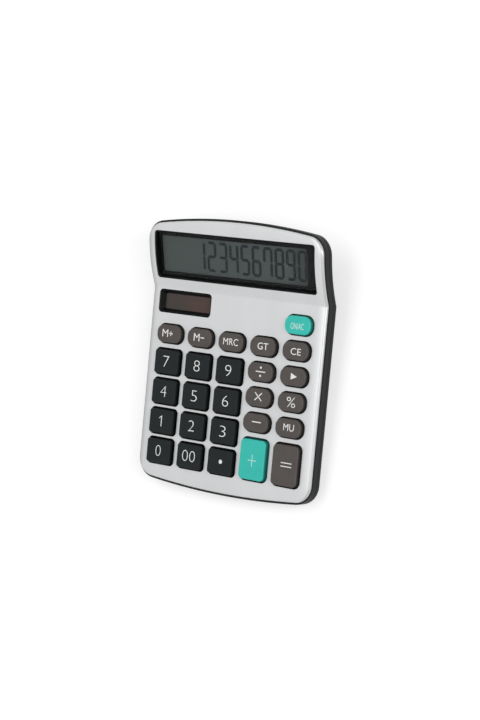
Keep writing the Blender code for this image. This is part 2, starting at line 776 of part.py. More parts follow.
BASE_RING = hull_ring(BASE_Z, BASE_EDGE)
BASE_FRONT_Y = BASE_RING[0].y
BASE_REAR_Y = BASE_RING[REAR_INDEX].y
BATTERY_Y = BASE_REAR_Y - BATTERY_SETBACK
BATTERY_Z = FLOOR_Z + BATTERY_CLEARANCE + BATTERY_RADIUS
BAY_LEFT = -BATTERY_LENGTH / 2 - SPRING_SPACE
BAY_RIGHT = BATTERY_LENGTH / 2 + BATTERY_NUB_LENGTH + CONTACT_THICKNESS + 2 * SEAT_GAP
BAY_MIDDLE_X = (BAY_LEFT + BAY_RIGHT) / 2
BAY_HALF_X = (BAY_RIGHT - BAY_LEFT) / 2
BAY_RADIUS = BATTERY_RADIUS + BATTERY_CLEARANCE
BAY_SHIFT = -BAY_MIDDLE_X
BAY_TOP = BATTERY_Z + BAY_RADIUS + BAY_WALL
DOOR_HALF_X = BAY_HALF_X + DOOR_MARGIN
DOOR_FRONT_Y = BATTERY_Y - BAY_RADIUS - DOOR_FRONT_MARGIN
LIP_TOP = BASE_Z + DOOR_LIP
RAISED_TOP = FLOOR_Z + SEAT_GAP + BAY_WALL


def hull_solid(name, inset):
    """The underside's outer form, drawn in by inset, as one solid that tops the raised floor."""
    rings = [
        hull_ring(BASE_Z, BASE_EDGE + inset),
        hull_ring(BASE_Z + BASE_EDGE, inset),
        hull_ring(RAISED_TOP + OVERRUN, inset),
    ]
    return new_object(name, loft(name, rings), hidden=True)


def door_blank(name, grow):
    """The door's plate and side tongues, running out behind, each grown by a clearance."""
    rear = BASE_REAR_Y + WALL + HULL_END_SLOPE * FLOOR + 2 * OVERRUN
    half = DOOR_HALF_X
    front = DOOR_FRONT_Y
    tongue_low = LIP_TOP + SEAT_GAP - grow
    right = [
        (half + grow, BASE_Z - OVERRUN),
        (half + grow, tongue_low),
        (half + DOOR_TONGUE + grow, tongue_low),
        (half + DOOR_TONGUE + grow, FLOOR_Z + grow),
    ]
    section = right + [(-x, z) for x, z in reversed(right)]
    rings = [[(x, y, z) for x, z in section] for y in (front - grow, rear)]
    return loft(name, rings)


def bay_form(name, radius, low, spread):
    """A battery-shaped block: a half round over straight sides, lying along x."""
    steps = ROUND_STEPS // 2
    turns = [math.pi * i / steps for i in range(steps + 1)]
    ring = [(radius * math.cos(turn), radius * math.sin(turn)) for turn in turns]
    ring += [(-radius, low - BATTERY_Z), (radius, low - BATTERY_Z)]
    ends = (BAY_LEFT + BAY_SHIFT - spread, BAY_RIGHT + BAY_SHIFT + spread)
    rings = [[(x, BATTERY_Y + y, BATTERY_Z + z) for y, z in ring] for x in ends]
    return new_object(name, loft(name, rings), hidden=True)


def foot_places():
    """Middles of the four feet, on the underside."""
    front = (HALF_WIDTH - FRONT_FOOT_SIDE, BASE_FRONT_Y + FRONT_FOOT_INSET)
    rear = (HALF_WIDTH - REAR_FOOT_SIDE, DOOR_FRONT_Y - REAR_FOOT_SPACE - FOOT_RADIUS)
    return [Vector((side * x, y, BASE_Z)) for x, y in (front, rear) for side in (-1, 1)]


def make_lower_housing():
    """The moulded tray: a lipped rim, sides drawn in to the base, bosses and the battery bay."""
    lip_outer = WALL / 2 + SEAT_GAP
    seam = -SEAM_DEPTH - SEAT_GAP
    lip_top = -SEAM_DEPTH + LIP_HEIGHT
    inner = hull_ring(FLOOR_Z, 0, from_inset=WALL)
    rings = [
        inner,
        band_ring(WALL, -BAND_HEIGHT),
        band_ring(WALL, lip_top),
        band_ring(lip_outer, lip_top),
        band_ring(lip_outer, seam),
        band_ring(0, seam),
        band_ring(0, -BAND_HEIGHT),
        band_ring(SHELF, -BAND_HEIGHT),
        hull_ring(BASE_Z + BASE_EDGE, 0),
        hull_ring(BASE_Z, BASE_EDGE),
    ]
    tray = new_object("lower_housing", loft("lower_housing", rings), "black")
    raised_x = DOOR_HALF_X + DOOR_TONGUE + SEAT_GAP + BAY_WALL
    low = (-raised_x, DOOR_FRONT_Y - SEAT_GAP - BAY_WALL, FLOOR_Z - FLOOR / 2)
    raised = box("raised_floor", low, (raised_x, BASE_REAR_Y + WALL, RAISED_TOP))
    boolean(raised, hull_solid("raised_floor_form", WALL / 2), "INTERSECT")
    boolean(tray, raised, "UNION")
    bay = bay_form("battery_bay_block", BAY_RADIUS + BAY_WALL, FLOOR_Z, BAY_WALL)
    boolean(tray, bay, "UNION")
    for i, place in enumerate(case_screw_places()):
        bottom, top = base_height(place.y), boss_joint(place)
        low = Vector((place.x, place.y, bottom + FLOOR / 2))
        high = Vector((place.x, place.y, top))
        boss = cylinder(f"lower_boss_{i}", LOWER_BOSS_RADIUS, low, high, KEYBOARD, SMALL_ROUND_STEPS)
        boolean(tray, boss, "UNION")
        recess_low = Vector((place.x, place.y, bottom - OVERRUN))
        recess_top = Vector((place.x, place.y, top - SCREW_GRIP))
        radius = SCREW_HEAD_RADIUS + SCREW_CLEARANCE
        recess = cylinder(f"screw_recess_{i}", radius, recess_low, recess_top, KEYBOARD, SMALL_ROUND_STEPS)
        boolean(tray, recess)
        hole_low = recess_top - Vector((0, 0, OVERRUN / 2))
        hole_top = high + Vector((0, 0, OVERRUN))
        radius = SCREW_SHANK + SCREW_CLEARANCE
        hole = cylinder(f"screw_hole_{i}", radius, hole_low, hole_top, KEYBOARD, SMALL_ROUND_STEPS)
        boolean(tray, hole)
    boolean(tray, bay_form("battery_space", BAY_RADIUS, LIP_TOP, 0))
    boolean(tray, new_object("door_slot", door_blank("door_slot", SEAT_GAP), hidden=True))
    for i, place in enumerate(foot_places()):
        low = place - Vector((0, 0, OVERRUN))
        high = place + Vector((0, 0, FOOT_RECESS + SEAT_GAP))
        boolean(tray, cylinder(f"foot_recess_{i}", FOOT_RADIUS + SEAT_GAP, low, high, steps=ROUND_STEPS))
    return smooth(tray)


def make_battery_door():
    """A sliding door cut from the same outer form as the tray, with thumb grooves."""
    piece = new_object("battery_door", door_blank("battery_door", 0), "black")
    boolean(piece, hull_solid("battery_door_form", 0), "INTERSECT")
    for i in range(GRIP_GROOVES):
        y = DOOR_FRONT_Y + GRIP_SETBACK + i * GRIP_PITCH
        low = (-GRIP_WIDTH / 2, y, BASE_Z - OVERRUN)
        high = (GRIP_WIDTH / 2, y + GRIP_PITCH / 2, BASE_Z + GRIP_DEPTH)
        boolean(piece, box(f"grip_groove_{i}", low, high))
    return smooth(piece)


def make_keys():
    """Flanged caps with drafted sides and rounded top edges, each on its own axis."""
    for name, shape, middle in KEYS:
        size, radius, steps = KEY_SHAPES[shape]
        half = (size[0] / 2, size[1] / 2)
        top_bevel = [(KEY_DRAFT, KEY_HEIGHT - KEY_EDGE)]
        for step in range(1, EDGE_STEPS + 1):
            turn = math.pi / 2 * step / EDGE_STEPS
            inset = KEY_DRAFT + KEY_EDGE * (1 - math.cos(turn))
            top_bevel.append((inset, KEY_HEIGHT - KEY_EDGE + KEY_EDGE * math.sin(turn)))
        levels = [(-FLANGE_WIDTH, FLANGE_BOTTOM), (-FLANGE_WIDTH, FLANGE_TOP), (0, FLANGE_TOP)]
        rings = []
        for inset, height in levels + top_bevel:
            ring = rounded(half[0] - inset, half[1] - inset, radius - inset, steps)
            rings.append([(*point, height) for point in ring])
        colour = "teal" if name in TEAL_KEYS else "digit" if shape == DIGIT else "function"
        key = new_object(name, loft(name, rings), colour, KEYBOARD @ Matrix.Translation(middle))
        smooth(key)


def make_dome_sheet():
    """The rubber sheet under the keys, with a dome for each one."""
    low = Vector((*SHEET_LOW, SHEET_BOTTOM))
    sheet_mesh = box("dome_sheet_base", low, Vector((*SHEET_HIGH, SHEET_TOP))).data.copy()
    sheet = new_object("dome_sheet", sheet_mesh, "rubber", KEYBOARD)
    for name, _, middle in KEYS:
        foot = middle + Vector((0, 0, SHEET_TOP - SHEET_THICKNESS / 2))
        top = middle + Vector((0, 0, DOME_TOP))
        radius = DOME_RADIUS * DOME_TOP_SHARE
        dome = cylinder(f"{name}_dome", DOME_RADIUS, foot, top, KEYBOARD, SMALL_ROUND_STEPS, radius)
        boolean(sheet, dome, "UNION")
    return sheet


def make_circuit_board():
    """The printed board that backs the dome sheet, with its screw holes."""
    half = (SHEET_HIGH - SHEET_LOW) / 2
    middle = (SHEET_HIGH + SHEET_LOW) / 2
    half.x = HALF_WIDTH - WALL - BOARD_CLEARANCE
    ring = rounded(half.x, half.y, BOARD_CORNER, CORNER_STEPS)
    rings = [[(p.x + middle.x, p.y + middle.y, z) for p in ring] for z in (BOARD_BOTTOM, BOARD_TOP)]
    board = new_object("circuit_board", loft("circuit_board", rings), "board", KEYBOARD)
    for i, place in enumerate(board_screw_places()):
        low = place + Vector((0, 0, BOARD_BOTTOM - OVERRUN))
        high = place + Vector((0, 0, BOARD_TOP + OVERRUN))
        radius = SMALL_SHANK + SCREW_CLEARANCE
        boolean(board, cylinder(f"board_hole_{i}", radius, low, high, KEYBOARD, SMALL_ROUND_STEPS))
    seat = KEYBOARD @ Matrix.Translation((middle.x, middle.y, BOARD_BOTTOM - SEAT_GAP))
    profile = [(0, 0), (CHIP_RADIUS, 0)]
    for step in range(1, CHIP_STEPS):
        turn = math.pi / 2 * step / CHIP_STEPS
        profile.append((CHIP_RADIUS * math.cos(turn), -CHIP_HEIGHT * math.sin(turn)))
    profile.append((0, -CHIP_HEIGHT))
    smooth(turned("processor_chip", profile, "epoxy", seat, SMALL_ROUND_STEPS))
    return board


def make_screws():
    """Case screws from below and the small ones that hold the circuit board."""
    for i, place in enumerate(case_screw_places()):
        joint = boss_joint(place)
        seat = joint - SCREW_GRIP - SEAT_GAP
        tip = joint + SEAT_GAP + SCREW_BITE - seat
        profile = [
            (0, tip),
            (SCREW_SHANK, tip - SCREW_SHANK),
            (SCREW_SHANK, 0),
            (SCREW_HEAD_RADIUS, 0),
            (SCREW_HEAD_RADIUS, -SCREW_HEAD_HEIGHT),
            (0, -SCREW_HEAD_HEIGHT),
        ]
        matrix = KEYBOARD @ Matrix.Translation((place.x, place.y, seat))
        smooth(turned(f"case_screw_{i + 1}", profile, "steel", matrix, SMALL_ROUND_STEPS))
    for i, place in enumerate(board_screw_places()):
        seat = BOARD_BOTTOM - SEAT_GAP
        tip = DECK_BOTTOM - SEAT_GAP - seat
        profile = [
            (0, tip),
            (SMALL_SHANK, tip - SMALL_SHANK),
            (SMALL_SHANK, 0),
            (SMALL_HEAD_RADIUS, 0),
            (SMALL_HEAD_RADIUS, -SMALL_HEAD_HEIGHT),
            (0, -SMALL_HEAD_HEIGHT),
        ]
        matrix = KEYBOARD @ Matrix.Translation((place.x, place.y, seat))
        smooth(turned(f"board_screw_{i + 1}", profile, "steel", matrix, SMALL_ROUND_STEPS))


def make_feet():
    for i, place in enumerate(foot_places()):
        profile = [
            (0, FOOT_RECESS),
            (FOOT_RADIUS, FOOT_RECESS),
            (FOOT_RADIUS, FOOT_EDGE - FOOT_HEIGHT),
            (FOOT_RADIUS - FOOT_EDGE, -FOOT_HEIGHT),
            (0, -FOOT_HEIGHT),
        ]
        smooth(turned(f"foot_{i + 1}", profile, "foot", Matrix.Translation(place)))


def display_ring(inset, depth):
    """A ring in the flat of the display, drawn in from the opening."""
    ring = rounded(
        DISPLAY_HALF_WIDTH - inset,
        DISPLAY_HALF_LENGTH - inset,
        max(DISPLAY_CORNER - inset, DISPLAY_CORNER / 2),
        CORNER_STEPS,
        DISPLAY_STRIPS,
    )
    return [DISPLAY @ Vector((*point, -depth)) for point in ring]


def arched_display_ring(inset, height, corner=None):
    """A ring round the display opening that follows the arched face."""
    ring = rounded(
        DISPLAY_HALF_WIDTH - inset,
        DISPLAY_HALF_REACH - inset,
        corner or DISPLAY_CORNER - min(inset, DISPLAY_CORNER / 2),
        CORNER_STEPS,
        DISPLAY_STRIPS,
    )
    return [bent((point.x, point.y + DISPLAY_MIDDLE, height)) for point in ring]


def view_ring(grow, depth, corner=LCD_CORNER):
    """A ring round the part of the display that shows."""
    ring = rounded(
        DISPLAY_HALF_WIDTH - VIEW_SIDE_INSET + grow,
        DISPLAY_HALF_LENGTH - VIEW_END_INSET + grow,
        corner,
        CORNER_STEPS,
        DISPLAY_STRIPS,
    )
    return [DISPLAY @ Vector((*point, -depth)) for point in ring]


def make_display():
    """The funnel-shaped bezel, its clear window, and the liquid crystal glass behind it."""
    ledge_top = FUNNEL_DEPTH + WINDOW_THICKNESS + SEAT_GAP
    ledge_bottom = ledge_top + LEDGE_THICKNESS
    glass_top = ledge_bottom + SEAT_GAP
    glass_bottom = glass_top + LCD_THICKNESS
    skirt_inner = LCD_BORDER + SEAT_GAP
    skirt_outer = skirt_inner + SKIRT_WALL
    flange_bottom = FLANGE_TOP - BEZEL_FLANGE_THICKNESS
    rings = [
        arched_display_ring(-BEZEL_FLANGE, flange_bottom, BEZEL_FLANGE_CORNER),
        arched_display_ring(-BEZEL_FLANGE, FLANGE_TOP, BEZEL_FLANGE_CORNER),
        arched_display_ring(BEZEL_CLEARANCE, FLANGE_TOP),
        arched_display_ring(BEZEL_CLEARANCE, -BEZEL_RECESS),
        arched_display_ring(BEZEL_CLEARANCE + BEZEL_LIP, -BEZEL_RECESS),
        display_ring(FUNNEL_INSET, FUNNEL_DEPTH),
        display_ring(FUNNEL_INSET, ledge_top),
        view_ring(0, ledge_top),
        view_ring(0, ledge_bottom),
        view_ring(skirt_inner, ledge_bottom),
        view_ring(skirt_inner, glass_bottom),
        view_ring(skirt_outer, glass_bottom, SKIRT_CORNER),
    ]
    bezel = loft("display_bezel", rings, closed=True)
    smooth(new_object("display_bezel", bezel, "bezel", KEYBOARD))
    window = loft(
        "display_window",
        [
            display_ring(FUNNEL_INSET + SEAT_GAP, FUNNEL_DEPTH),
            display_ring(FUNNEL_INSET + SEAT_GAP, FUNNEL_DEPTH + WINDOW_THICKNESS),
        ],
    )
    new_object("display_window", window, "window", KEYBOARD)
    glass = loft("lcd_panel", [view_ring(LCD_BORDER, glass_top), view_ring(LCD_BORDER, glass_bottom)])
    new_object("lcd_panel", glass, "lcd", KEYBOARD)
    return glass_bottom


def make_ribbon(glass_bottom):
    """The film that joins the circuit board to the display glass, in one slack curve."""
    board_end = Vector((SHEET_HIGH.y, BOARD_BOTTOM - SEAT_GAP - RIBBON_THICKNESS / 2))
    board_start = board_end - Vector((RIBBON_LAP, 0))
    under = glass_bottom + SEAT_GAP + RIBBON_THICKNESS / 2
    edge = DISPLAY_HALF_LENGTH - VIEW_END_INSET + LCD_BORDER
    glass_end = (DISPLAY @ Vector((0, -edge + RIBBON_LAP, -under))).yz
    skirt = LCD_BORDER + SEAT_GAP + SKIRT_WALL
    skirt_edge = DISPLAY_HALF_LENGTH - VIEW_END_INSET + skirt
    glass_start = (DISPLAY @ Vector((0, -skirt_edge - RIBBON_LAP / 2, -under))).yz
    path = [board_start, board_end]
    steps = SMALL_ROUND_STEPS
    reach = (glass_start - board_end).length / 2
    leave = board_end + Vector((reach, 0))
    slope = (glass_end - glass_start).normalized()
    arrive = glass_start - slope * reach
    for step in range(1, steps):
        t = step / steps
        point = board_end * (1 - t) ** 3 + leave * 3 * t * (1 - t) ** 2
        path.append(point + arrive * 3 * t * t * (1 - t) + glass_start * t**3)
    path += [glass_start, glass_end]
    shape = bmesh.new()
    rows = []
    for x in (BAY_HALF_X + BAY_WALL + RIBBON_BAY_GAP, HALF_WIDTH - RIBBON_SIDE):
        rows.append([shape.verts.new((x, point.x, point.y)) for point in path])
    for i in range(len(path) - 1):
        shape.faces.new((rows[0][i], rows[0][i + 1], rows[1][i + 1], rows[1][i]))
    ribbon = new_object("display_ribbon", mesh_of("display_ribbon", shape), "ribbon", KEYBOARD)
    thickness = ribbon.modifiers.new("film", "SOLIDIFY")
    thickness.thickness = RIBBON_THICKNESS
    thickness.offset = 0
    return smooth(ribbon)


def make_solar_cell():
    """The cell and the deep black frame that clamps it under the deck."""
    half = (SOLAR_SIZE[0] / 2, SOLAR_SIZE[1] / 2)
    middle = Vector((SOLAR_X, KINK_Y + SOLAR_MIDDLE, 0))

    def ring(inset, height):
        radius = max(SOLAR_CORNER - inset, SOLAR_CORNER / 2)
        points = rounded(half[0] - inset, half[1] - inset, radius, CORNER_STEPS)
        return [(*point, height) for point in points]

    aperture = BEZEL_CLEARANCE + SOLAR_FRAME
    roof = -SOLAR_DEPTH
    cell_top = roof - SEAT_GAP
    cell_bottom = cell_top - CELL_THICKNESS
    pocket = aperture - CELL_LAP - SEAT_GAP
    rings = [
        ring(-SOLAR_FLANGE, cell_bottom),
        ring(-SOLAR_FLANGE, FLANGE_TOP),
        ring(BEZEL_CLEARANCE, FLANGE_TOP),
        ring(BEZEL_CLEARANCE, -BEZEL_RECESS),
        ring(BEZEL_CLEARANCE + BEZEL_LIP, -BEZEL_RECESS),
        ring(aperture, roof),
        ring(pocket, roof),
        ring(pocket, cell_bottom),
    ]
    at = KEYBOARD @ Matrix.Translation(middle)
    smooth(new_object("solar_bezel", loft("solar_bezel", rings, closed=True), "bezel", at))
    cell = [ring(aperture - CELL_LAP, cell_top), ring(aperture - CELL_LAP, cell_bottom)]
    return new_object("solar_cell", loft("solar_cell", cell), "cell", at)


def make_battery():
    """The dry cell across the bay, its spring on the left and its contact plate on the right."""
    lying = Matrix.Translation((BAY_SHIFT, BATTERY_Y, BATTERY_Z)) @ Matrix.Rotation(math.pi / 2, 4, "Y")
    half = BATTERY_LENGTH / 2
    edge = BATTERY_CLEARANCE
    profile = [
        (0, half + BATTERY_NUB_LENGTH),
        (BATTERY_NUB_RADIUS, half + BATTERY_NUB_LENGTH),
        (BATTERY_NUB_RADIUS, half),
        (BATTERY_RADIUS - edge, half),
        (BATTERY_RADIUS, half - edge),
        (BATTERY_RADIUS, edge - half),
        (BATTERY_RADIUS - edge, -half),
        (0, -half),
    ]
    smooth(turned("battery", profile, "cell_case", lying))
    plate_x = BAY_RIGHT + BAY_SHIFT - SEAT_GAP
    low = Vector((plate_x - CONTACT_THICKNESS, BATTERY_Y - CONTACT_SIZE / 2, BATTERY_Z - CONTACT_SIZE / 2))
    high = Vector((plate_x, BATTERY_Y + CONTACT_SIZE / 2, BATTERY_Z + CONTACT_SIZE / 2))
    plate = box("battery_contact_form", low, high).data.copy()
    new_object("battery_contact", plate, "spring")
    start = BAY_LEFT + BAY_SHIFT + SEAT_GAP + SPRING_WIRE / 2
    end = -half + BAY_SHIFT - SEAT_GAP - SPRING_WIRE / 2
    curve = bpy.data.curves.new("battery_spring", "CURVE")
    curve.dimensions = "3D"
    curve.bevel_depth = SPRING_WIRE / 2
    curve.bevel_resolution = 1
    curve.use_fill_caps = True
    spline = curve.splines.new("POLY")
    count = SPRING_TURNS * SMALL_ROUND_STEPS + 1
    spline.points.add(count - 1)
    for i in range(count):
        share = i / (count - 1)
        turn = 2 * math.pi * SPRING_TURNS * share
        radius = SPRING_LARGE_RADIUS + share * (SPRING_SMALL_RADIUS - SPRING_LARGE_RADIUS)
        x = start + share * (end - start)
        y = BATTERY_Y + radius * math.cos(turn)
        spline.points[i].co = (x, y, BATTERY_Z + radius * math.sin(turn), 1)
    return new_object("battery_spring", curve, "spring")


def main():
    openings = opening_cutters()
    make_face_plate(openings)
    make_upper_housing(openings)
    make_lower_housing()
    make_battery_door()
    make_keys()
    make_dome_sheet()
    make_circuit_board()
    glass_bottom = make_display()
    make_ribbon(glass_bottom)
    make_solar_cell()
    make_battery()
    make_screws()
    make_feet()


main()
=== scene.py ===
import math

import bmesh
import bpy
from mathutils import Matrix, Vector


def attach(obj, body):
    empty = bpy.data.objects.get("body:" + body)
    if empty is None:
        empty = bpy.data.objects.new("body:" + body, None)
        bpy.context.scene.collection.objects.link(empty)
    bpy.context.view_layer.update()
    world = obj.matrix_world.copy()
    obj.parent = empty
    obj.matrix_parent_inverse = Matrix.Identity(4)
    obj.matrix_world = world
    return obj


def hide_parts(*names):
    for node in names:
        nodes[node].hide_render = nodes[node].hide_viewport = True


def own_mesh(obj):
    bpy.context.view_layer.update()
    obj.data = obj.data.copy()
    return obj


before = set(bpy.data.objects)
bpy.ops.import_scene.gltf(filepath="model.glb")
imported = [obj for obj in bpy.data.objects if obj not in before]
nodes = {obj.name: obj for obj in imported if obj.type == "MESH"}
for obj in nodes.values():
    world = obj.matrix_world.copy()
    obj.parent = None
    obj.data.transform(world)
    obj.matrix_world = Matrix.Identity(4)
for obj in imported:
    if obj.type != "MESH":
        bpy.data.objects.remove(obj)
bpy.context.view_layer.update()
print("frame loaded:", len(nodes), "nodes")

# The case's face laid flat, in metres: x to the right, reach back from the kink, height out of the face
face = dict(
    halfWidth=0.0587, frontReach=0.10885, rearReach=0.04185,
    frontArch=0.456, rearArch=0.346, frontCorner=0.011, rearCorner=0.0107,
    tilt=math.radians(4), keysToKink=0.00641,
    kinkAngle=math.radians(27.8), kinkLength=0.0016, kinkShares=(0.25, 0.75),
    arcRadius=0.0843, cadStrips=8, strips=32,
    rim=0.0012, sideRim=0.0005, roll=0.002, sheet=0.0006, seat=0.0003, deck=0.0016,
    wall=0.0022, seam=0.006, lip=0.0011, band=0.0085, crown=0.0046, crownDrop=0.00042, crownSteps=5,
)
seat, wall, seam = (face[name] for name in ("seat", "wall", "seam"))
keyForm = dict(
    height=0.0026, edge=0.0006, edgeSteps=6, draft=0.00022, flange=0.00095, clearance=0.0005,
    digitCorner=0.00165, tallCorner=0.00275, flatEnd=0.00065, legendLift=0.00002,
    # the last two set the painted shade down the keys' flanks: its darkest tone and the height it fades
    # over
    plateGap=(0.0009, 0.0009), pillPlateGap=(0.0009, 0.00062), flankShade=0.3, flankShadeDepth=0.0012,
)
digitKeys = [f"key_{name}" for name in ("7", "8", "9", "4", "5", "6", "1", "2", "3", "0", "00", "point")]


def measured(node, matrix=Matrix()):  # lowest and highest corners of a CAD node, in another frame
    points = [matrix @ vertex.co for vertex in nodes[node].data.vertices]
    low = Vector([min(point[i] for point in points) for i in range(3)])
    high = Vector([max(point[i] for point in points) for i in range(3)])
    return low, high


def keyboardFrame():  # the plane of the keyboard, with its origin in the middle of the number keys
    turn = Matrix.Rotation(face["tilt"], 4, "X")
    boxes = [measured(node, turn.inverted()) for node in digitKeys]
    middle = (min(low.y for low, _ in boxes) + max(high.y for _, high in boxes)) / 2
    top = max(high.z for _, high in boxes) - keyForm["height"]
    return turn @ Matrix.Translation((0, middle, top))


keyboard = keyboardFrame()
fromWorld = keyboard.inverted()
kinkY = measured("key_on", fromWorld)[1].y - keyForm["flange"] + face["keysToKink"]


def sideView(strips):  # rows of (reach, y, z) from the start of the kink to the rear edge
    half = face["kinkLength"] / 2
    rows = [(-half, kinkY - half, 0.0)]
    first, second = (face["kinkAngle"] * share for share in face["kinkShares"])
    turns = [(-half, 0, first), (0, half, second)]
    strip = (face["rearReach"] - half) / strips
    for i in range(strips):
        start = half + i * strip
        turns.append((start, start + strip, face["kinkAngle"] - (start + strip / 2) / face["arcRadius"]))
    for start, end, turn in turns:
        y, z = rows[-1][1:]
        rows.append((end, y + (end - start) * math.cos(turn), z + (end - start) * math.sin(turn)))
    return rows


cadSide = sideView(face["cadStrips"])
fineSide = sideView(face["strips"])


def onFace(rows, reach):
    if reach <= rows[0][0]:
        return kinkY + reach, 0.0
    for before, after in zip(rows, rows[1:]):
        if reach <= after[0] or after is rows[-1]:
            share = (reach - before[0]) / (after[0] - before[0])
            return before[1] + share * (after[1] - before[1]), before[2] + share * (after[2] - before[2])


def bent(point):  # a point of the flat layout, laid along the kinked and arched face
    y, z = onFace(fineSide, point[1])
    return Vector((point[0], y, z + point[2]))


def onKeyboard(x, y, z=0):
    return keyboard @ Matrix.Translation((x, y, z))


def roundedRing(halfX, halfY, radius, steps, middle=(0, 0)):
    points = []
    for corner, (signX, signY) in enumerate(((1, -1), (1, 1), (-1, 1), (-1, -1))):
        for step in range(steps + 1):
            turn = math.pi / 2 * (corner - 1 + step / steps)
            x = signX * (halfX - radius) + radius * math.cos(turn)
            y = signY * (halfY - radius) + radius * math.sin(turn)
            points.append(Vector((x + middle[0], y + middle[1])))
    return points


def caseRing(inset, height, cornerSteps=10, archSteps=14):  # anticlockwise from the front's middle
    ends, halves = [], []
    for side, reach, arch, corner in (
        (-1, face["frontReach"], face["frontArch"], face["frontCorner"]),
        (1, face["rearReach"], face["rearArch"], face["rearCorner"]),
    ):
        centre = side * (reach - arch)
        across = face["halfWidth"] - corner
        rise = math.sqrt((arch - corner) ** 2 - across**2)
        turn = math.atan2(rise, across)
        cornerMiddle = Vector((across, centre + side * rise))
        arcs = []
        for step in range(archSteps):
            angle = math.pi / 2 - step / archSteps * (math.pi / 2 - turn)
            arcs.append((Vector((0, centre)), arch, side * angle))
        for step in range(cornerSteps + 1):
            arcs.append((cornerMiddle, corner, side * turn * (1 - step / cornerSteps)))
        ends.append(cornerMiddle.y)
        halves.append(arcs)
    sides = [
        (Vector((face["halfWidth"] - face["frontCorner"], row[0])), face["frontCorner"], 0.0)
        for row in fineSide
        if ends[0] < row[0] < ends[1]
    ]
    right = []
    for centre, radius, angle in halves[0] + sides + halves[1][::-1]:
        right.append(centre + (radius - inset) * Vector((math.cos(angle), math.sin(angle))))
    left = [Vector((-point.x, point.y)) for point in reversed(right[1:-1])]
    return [Vector((point.x, point.y, height)) for point in right + left]


def plateRing(inset, height):  # the plate leaves less of a rim at the sides than at the ends
    spread = (face["halfWidth"] - face["sideRim"]) / (face["halfWidth"] - face["rim"])
    return [Vector((point.x * spread, point.y, point.z)) for point in caseRing(inset, height)]


def crownStart():  # slope and radius of the roll where the crown ends, and how far in the crown begins
    slope = math.atan(2 * face["crownDrop"] / face["crown"])
    radius = (face["roll"] - face["crownDrop"]) / math.cos(slope)
    return slope, radius, face["rim"] + radius * (1 - math.sin(slope)) + face["crown"]


def crownRings(height, least=0.0):  # the face falls a little towards its edge
    start = crownStart()[2]
    steps = face["crownSteps"]
    insets = [start - face["crown"] * step / steps for step in range(steps + 1)]
    insets = [inset for inset in insets if inset > least] + ([least] if least else [])
    falls = [face["crownDrop"] * ((start - inset) / face["crown"]) ** 2 for inset in insets]
    return [plateRing(inset, height - fall) for inset, fall in zip(insets, falls)]


def meshOf(name, shape):
    mesh = bpy.data.meshes.new(name)
    shape.to_mesh(mesh)
    shape.free()
    return mesh


def loftMesh(name, rings, closed=False):
    shape = bmesh.new()
    loops = [[shape.verts.new(point) for point in ring] for ring in rings]
    pairs = list(zip(loops, loops[1:]))
    if closed:
        pairs.append((loops[-1], loops[0]))
    else:
        shape.faces.new(loops[0])
        shape.faces.new(loops[-1])
    for lower, upper in pairs:
        for i in range(len(lower)):
            shape.faces.new((lower[i - 1], lower[i], upper[i], upper[i - 1]))
    bmesh.ops.recalc_face_normals(shape, faces=shape.faces)
    return meshOf(name, shape)


def inStrips(mesh):  # cut across at every strip, so that it bends cleanly
    shape = bmesh.new()
    shape.from_mesh(mesh)
    for row in fineSide[:-1]:
        everything = [*shape.verts, *shape.edges, *shape.faces]
        bmesh.ops.bisect_plane(shape, geom=everything, plane_co=(0, row[0], 0), plane_no=(0, 1, 0))
    shape.to_mesh(mesh)
    shape.free()
    return mesh


def newObject(name, mesh, matrix=None):
    thing = bpy.data.objects.new(name, mesh)
    bpy.context.scene.collection.objects.link(thing)
    if matrix is not None:
        thing.matrix_world = matrix
    return thing


def lofted(name, rings, matrix=None, closed=False):
    return newObject(name, loftMesh(name, rings, closed), matrix)


def finalMesh(thing):
    bpy.context.view_layer.update()
    graph = bpy.context.evaluated_depsgraph_get()
    return bpy.data.meshes.new_from_object(thing.evaluated_get(graph))


def applied(thing):  # the object with its modifiers made real
    mesh = finalMesh(thing)
    thing.modifiers.clear()
    thing.data = mesh
    return thing


def shaped(thing, **tools):  # intersect, union or difference, each with the tools that are used up
    for operation, group in tools.items():
        for tool in group:
            step = thing.modifiers.new(operation, "BOOLEAN")
            step.operation = operation.upper()
            step.solver = "EXACT"
            step.object = tool
    applied(thing)
    for tool in sum(tools.values(), []):
        bpy.data.objects.remove(tool, do_unlink=True)
    return thing


def block(low, high, matrix=None):
    ring = [(low[0], low[1]), (high[0], low[1]), (high[0], high[1]), (low[0], high[1])]
    return lofted("blockTool", levels(ring, low[2], high[2]), matrix)


def circle(radius, steps, points=0):  # every point, or only the first ones for an arc
    turns = [2 * math.pi * i / steps for i in range(points or steps)]
    return [(radius * math.cos(turn), radius * math.sin(turn)) for turn in turns]


def levels(outline, *heights):
    return [[(*point, height) for point in outline] for height in heights]


def turnedMesh(name, profile, steps):  # profile of (radius, height), capped flat at both ends
    return loftMesh(name, [levels(circle(radius, steps), height)[0] for radius, height in profile])


def rod(middle, radius, low, high, matrix=None, steps=32):
    place = Matrix.Translation((middle[0], middle[1], 0))
    mesh = turnedMesh("rodTool", [(radius, low), (radius, high)], steps)
    return newObject("rodTool", mesh, place if matrix is None else matrix @ place)


def softened(thing, width, segments=2, angle=40):
    bevel = thing.modifiers.new("softEdges", "BEVEL")
    bevel.width = width
    bevel.segments = segments
    bevel.limit_method = "ANGLE"
    bevel.angle_limit = math.radians(angle)
    return applied(thing)


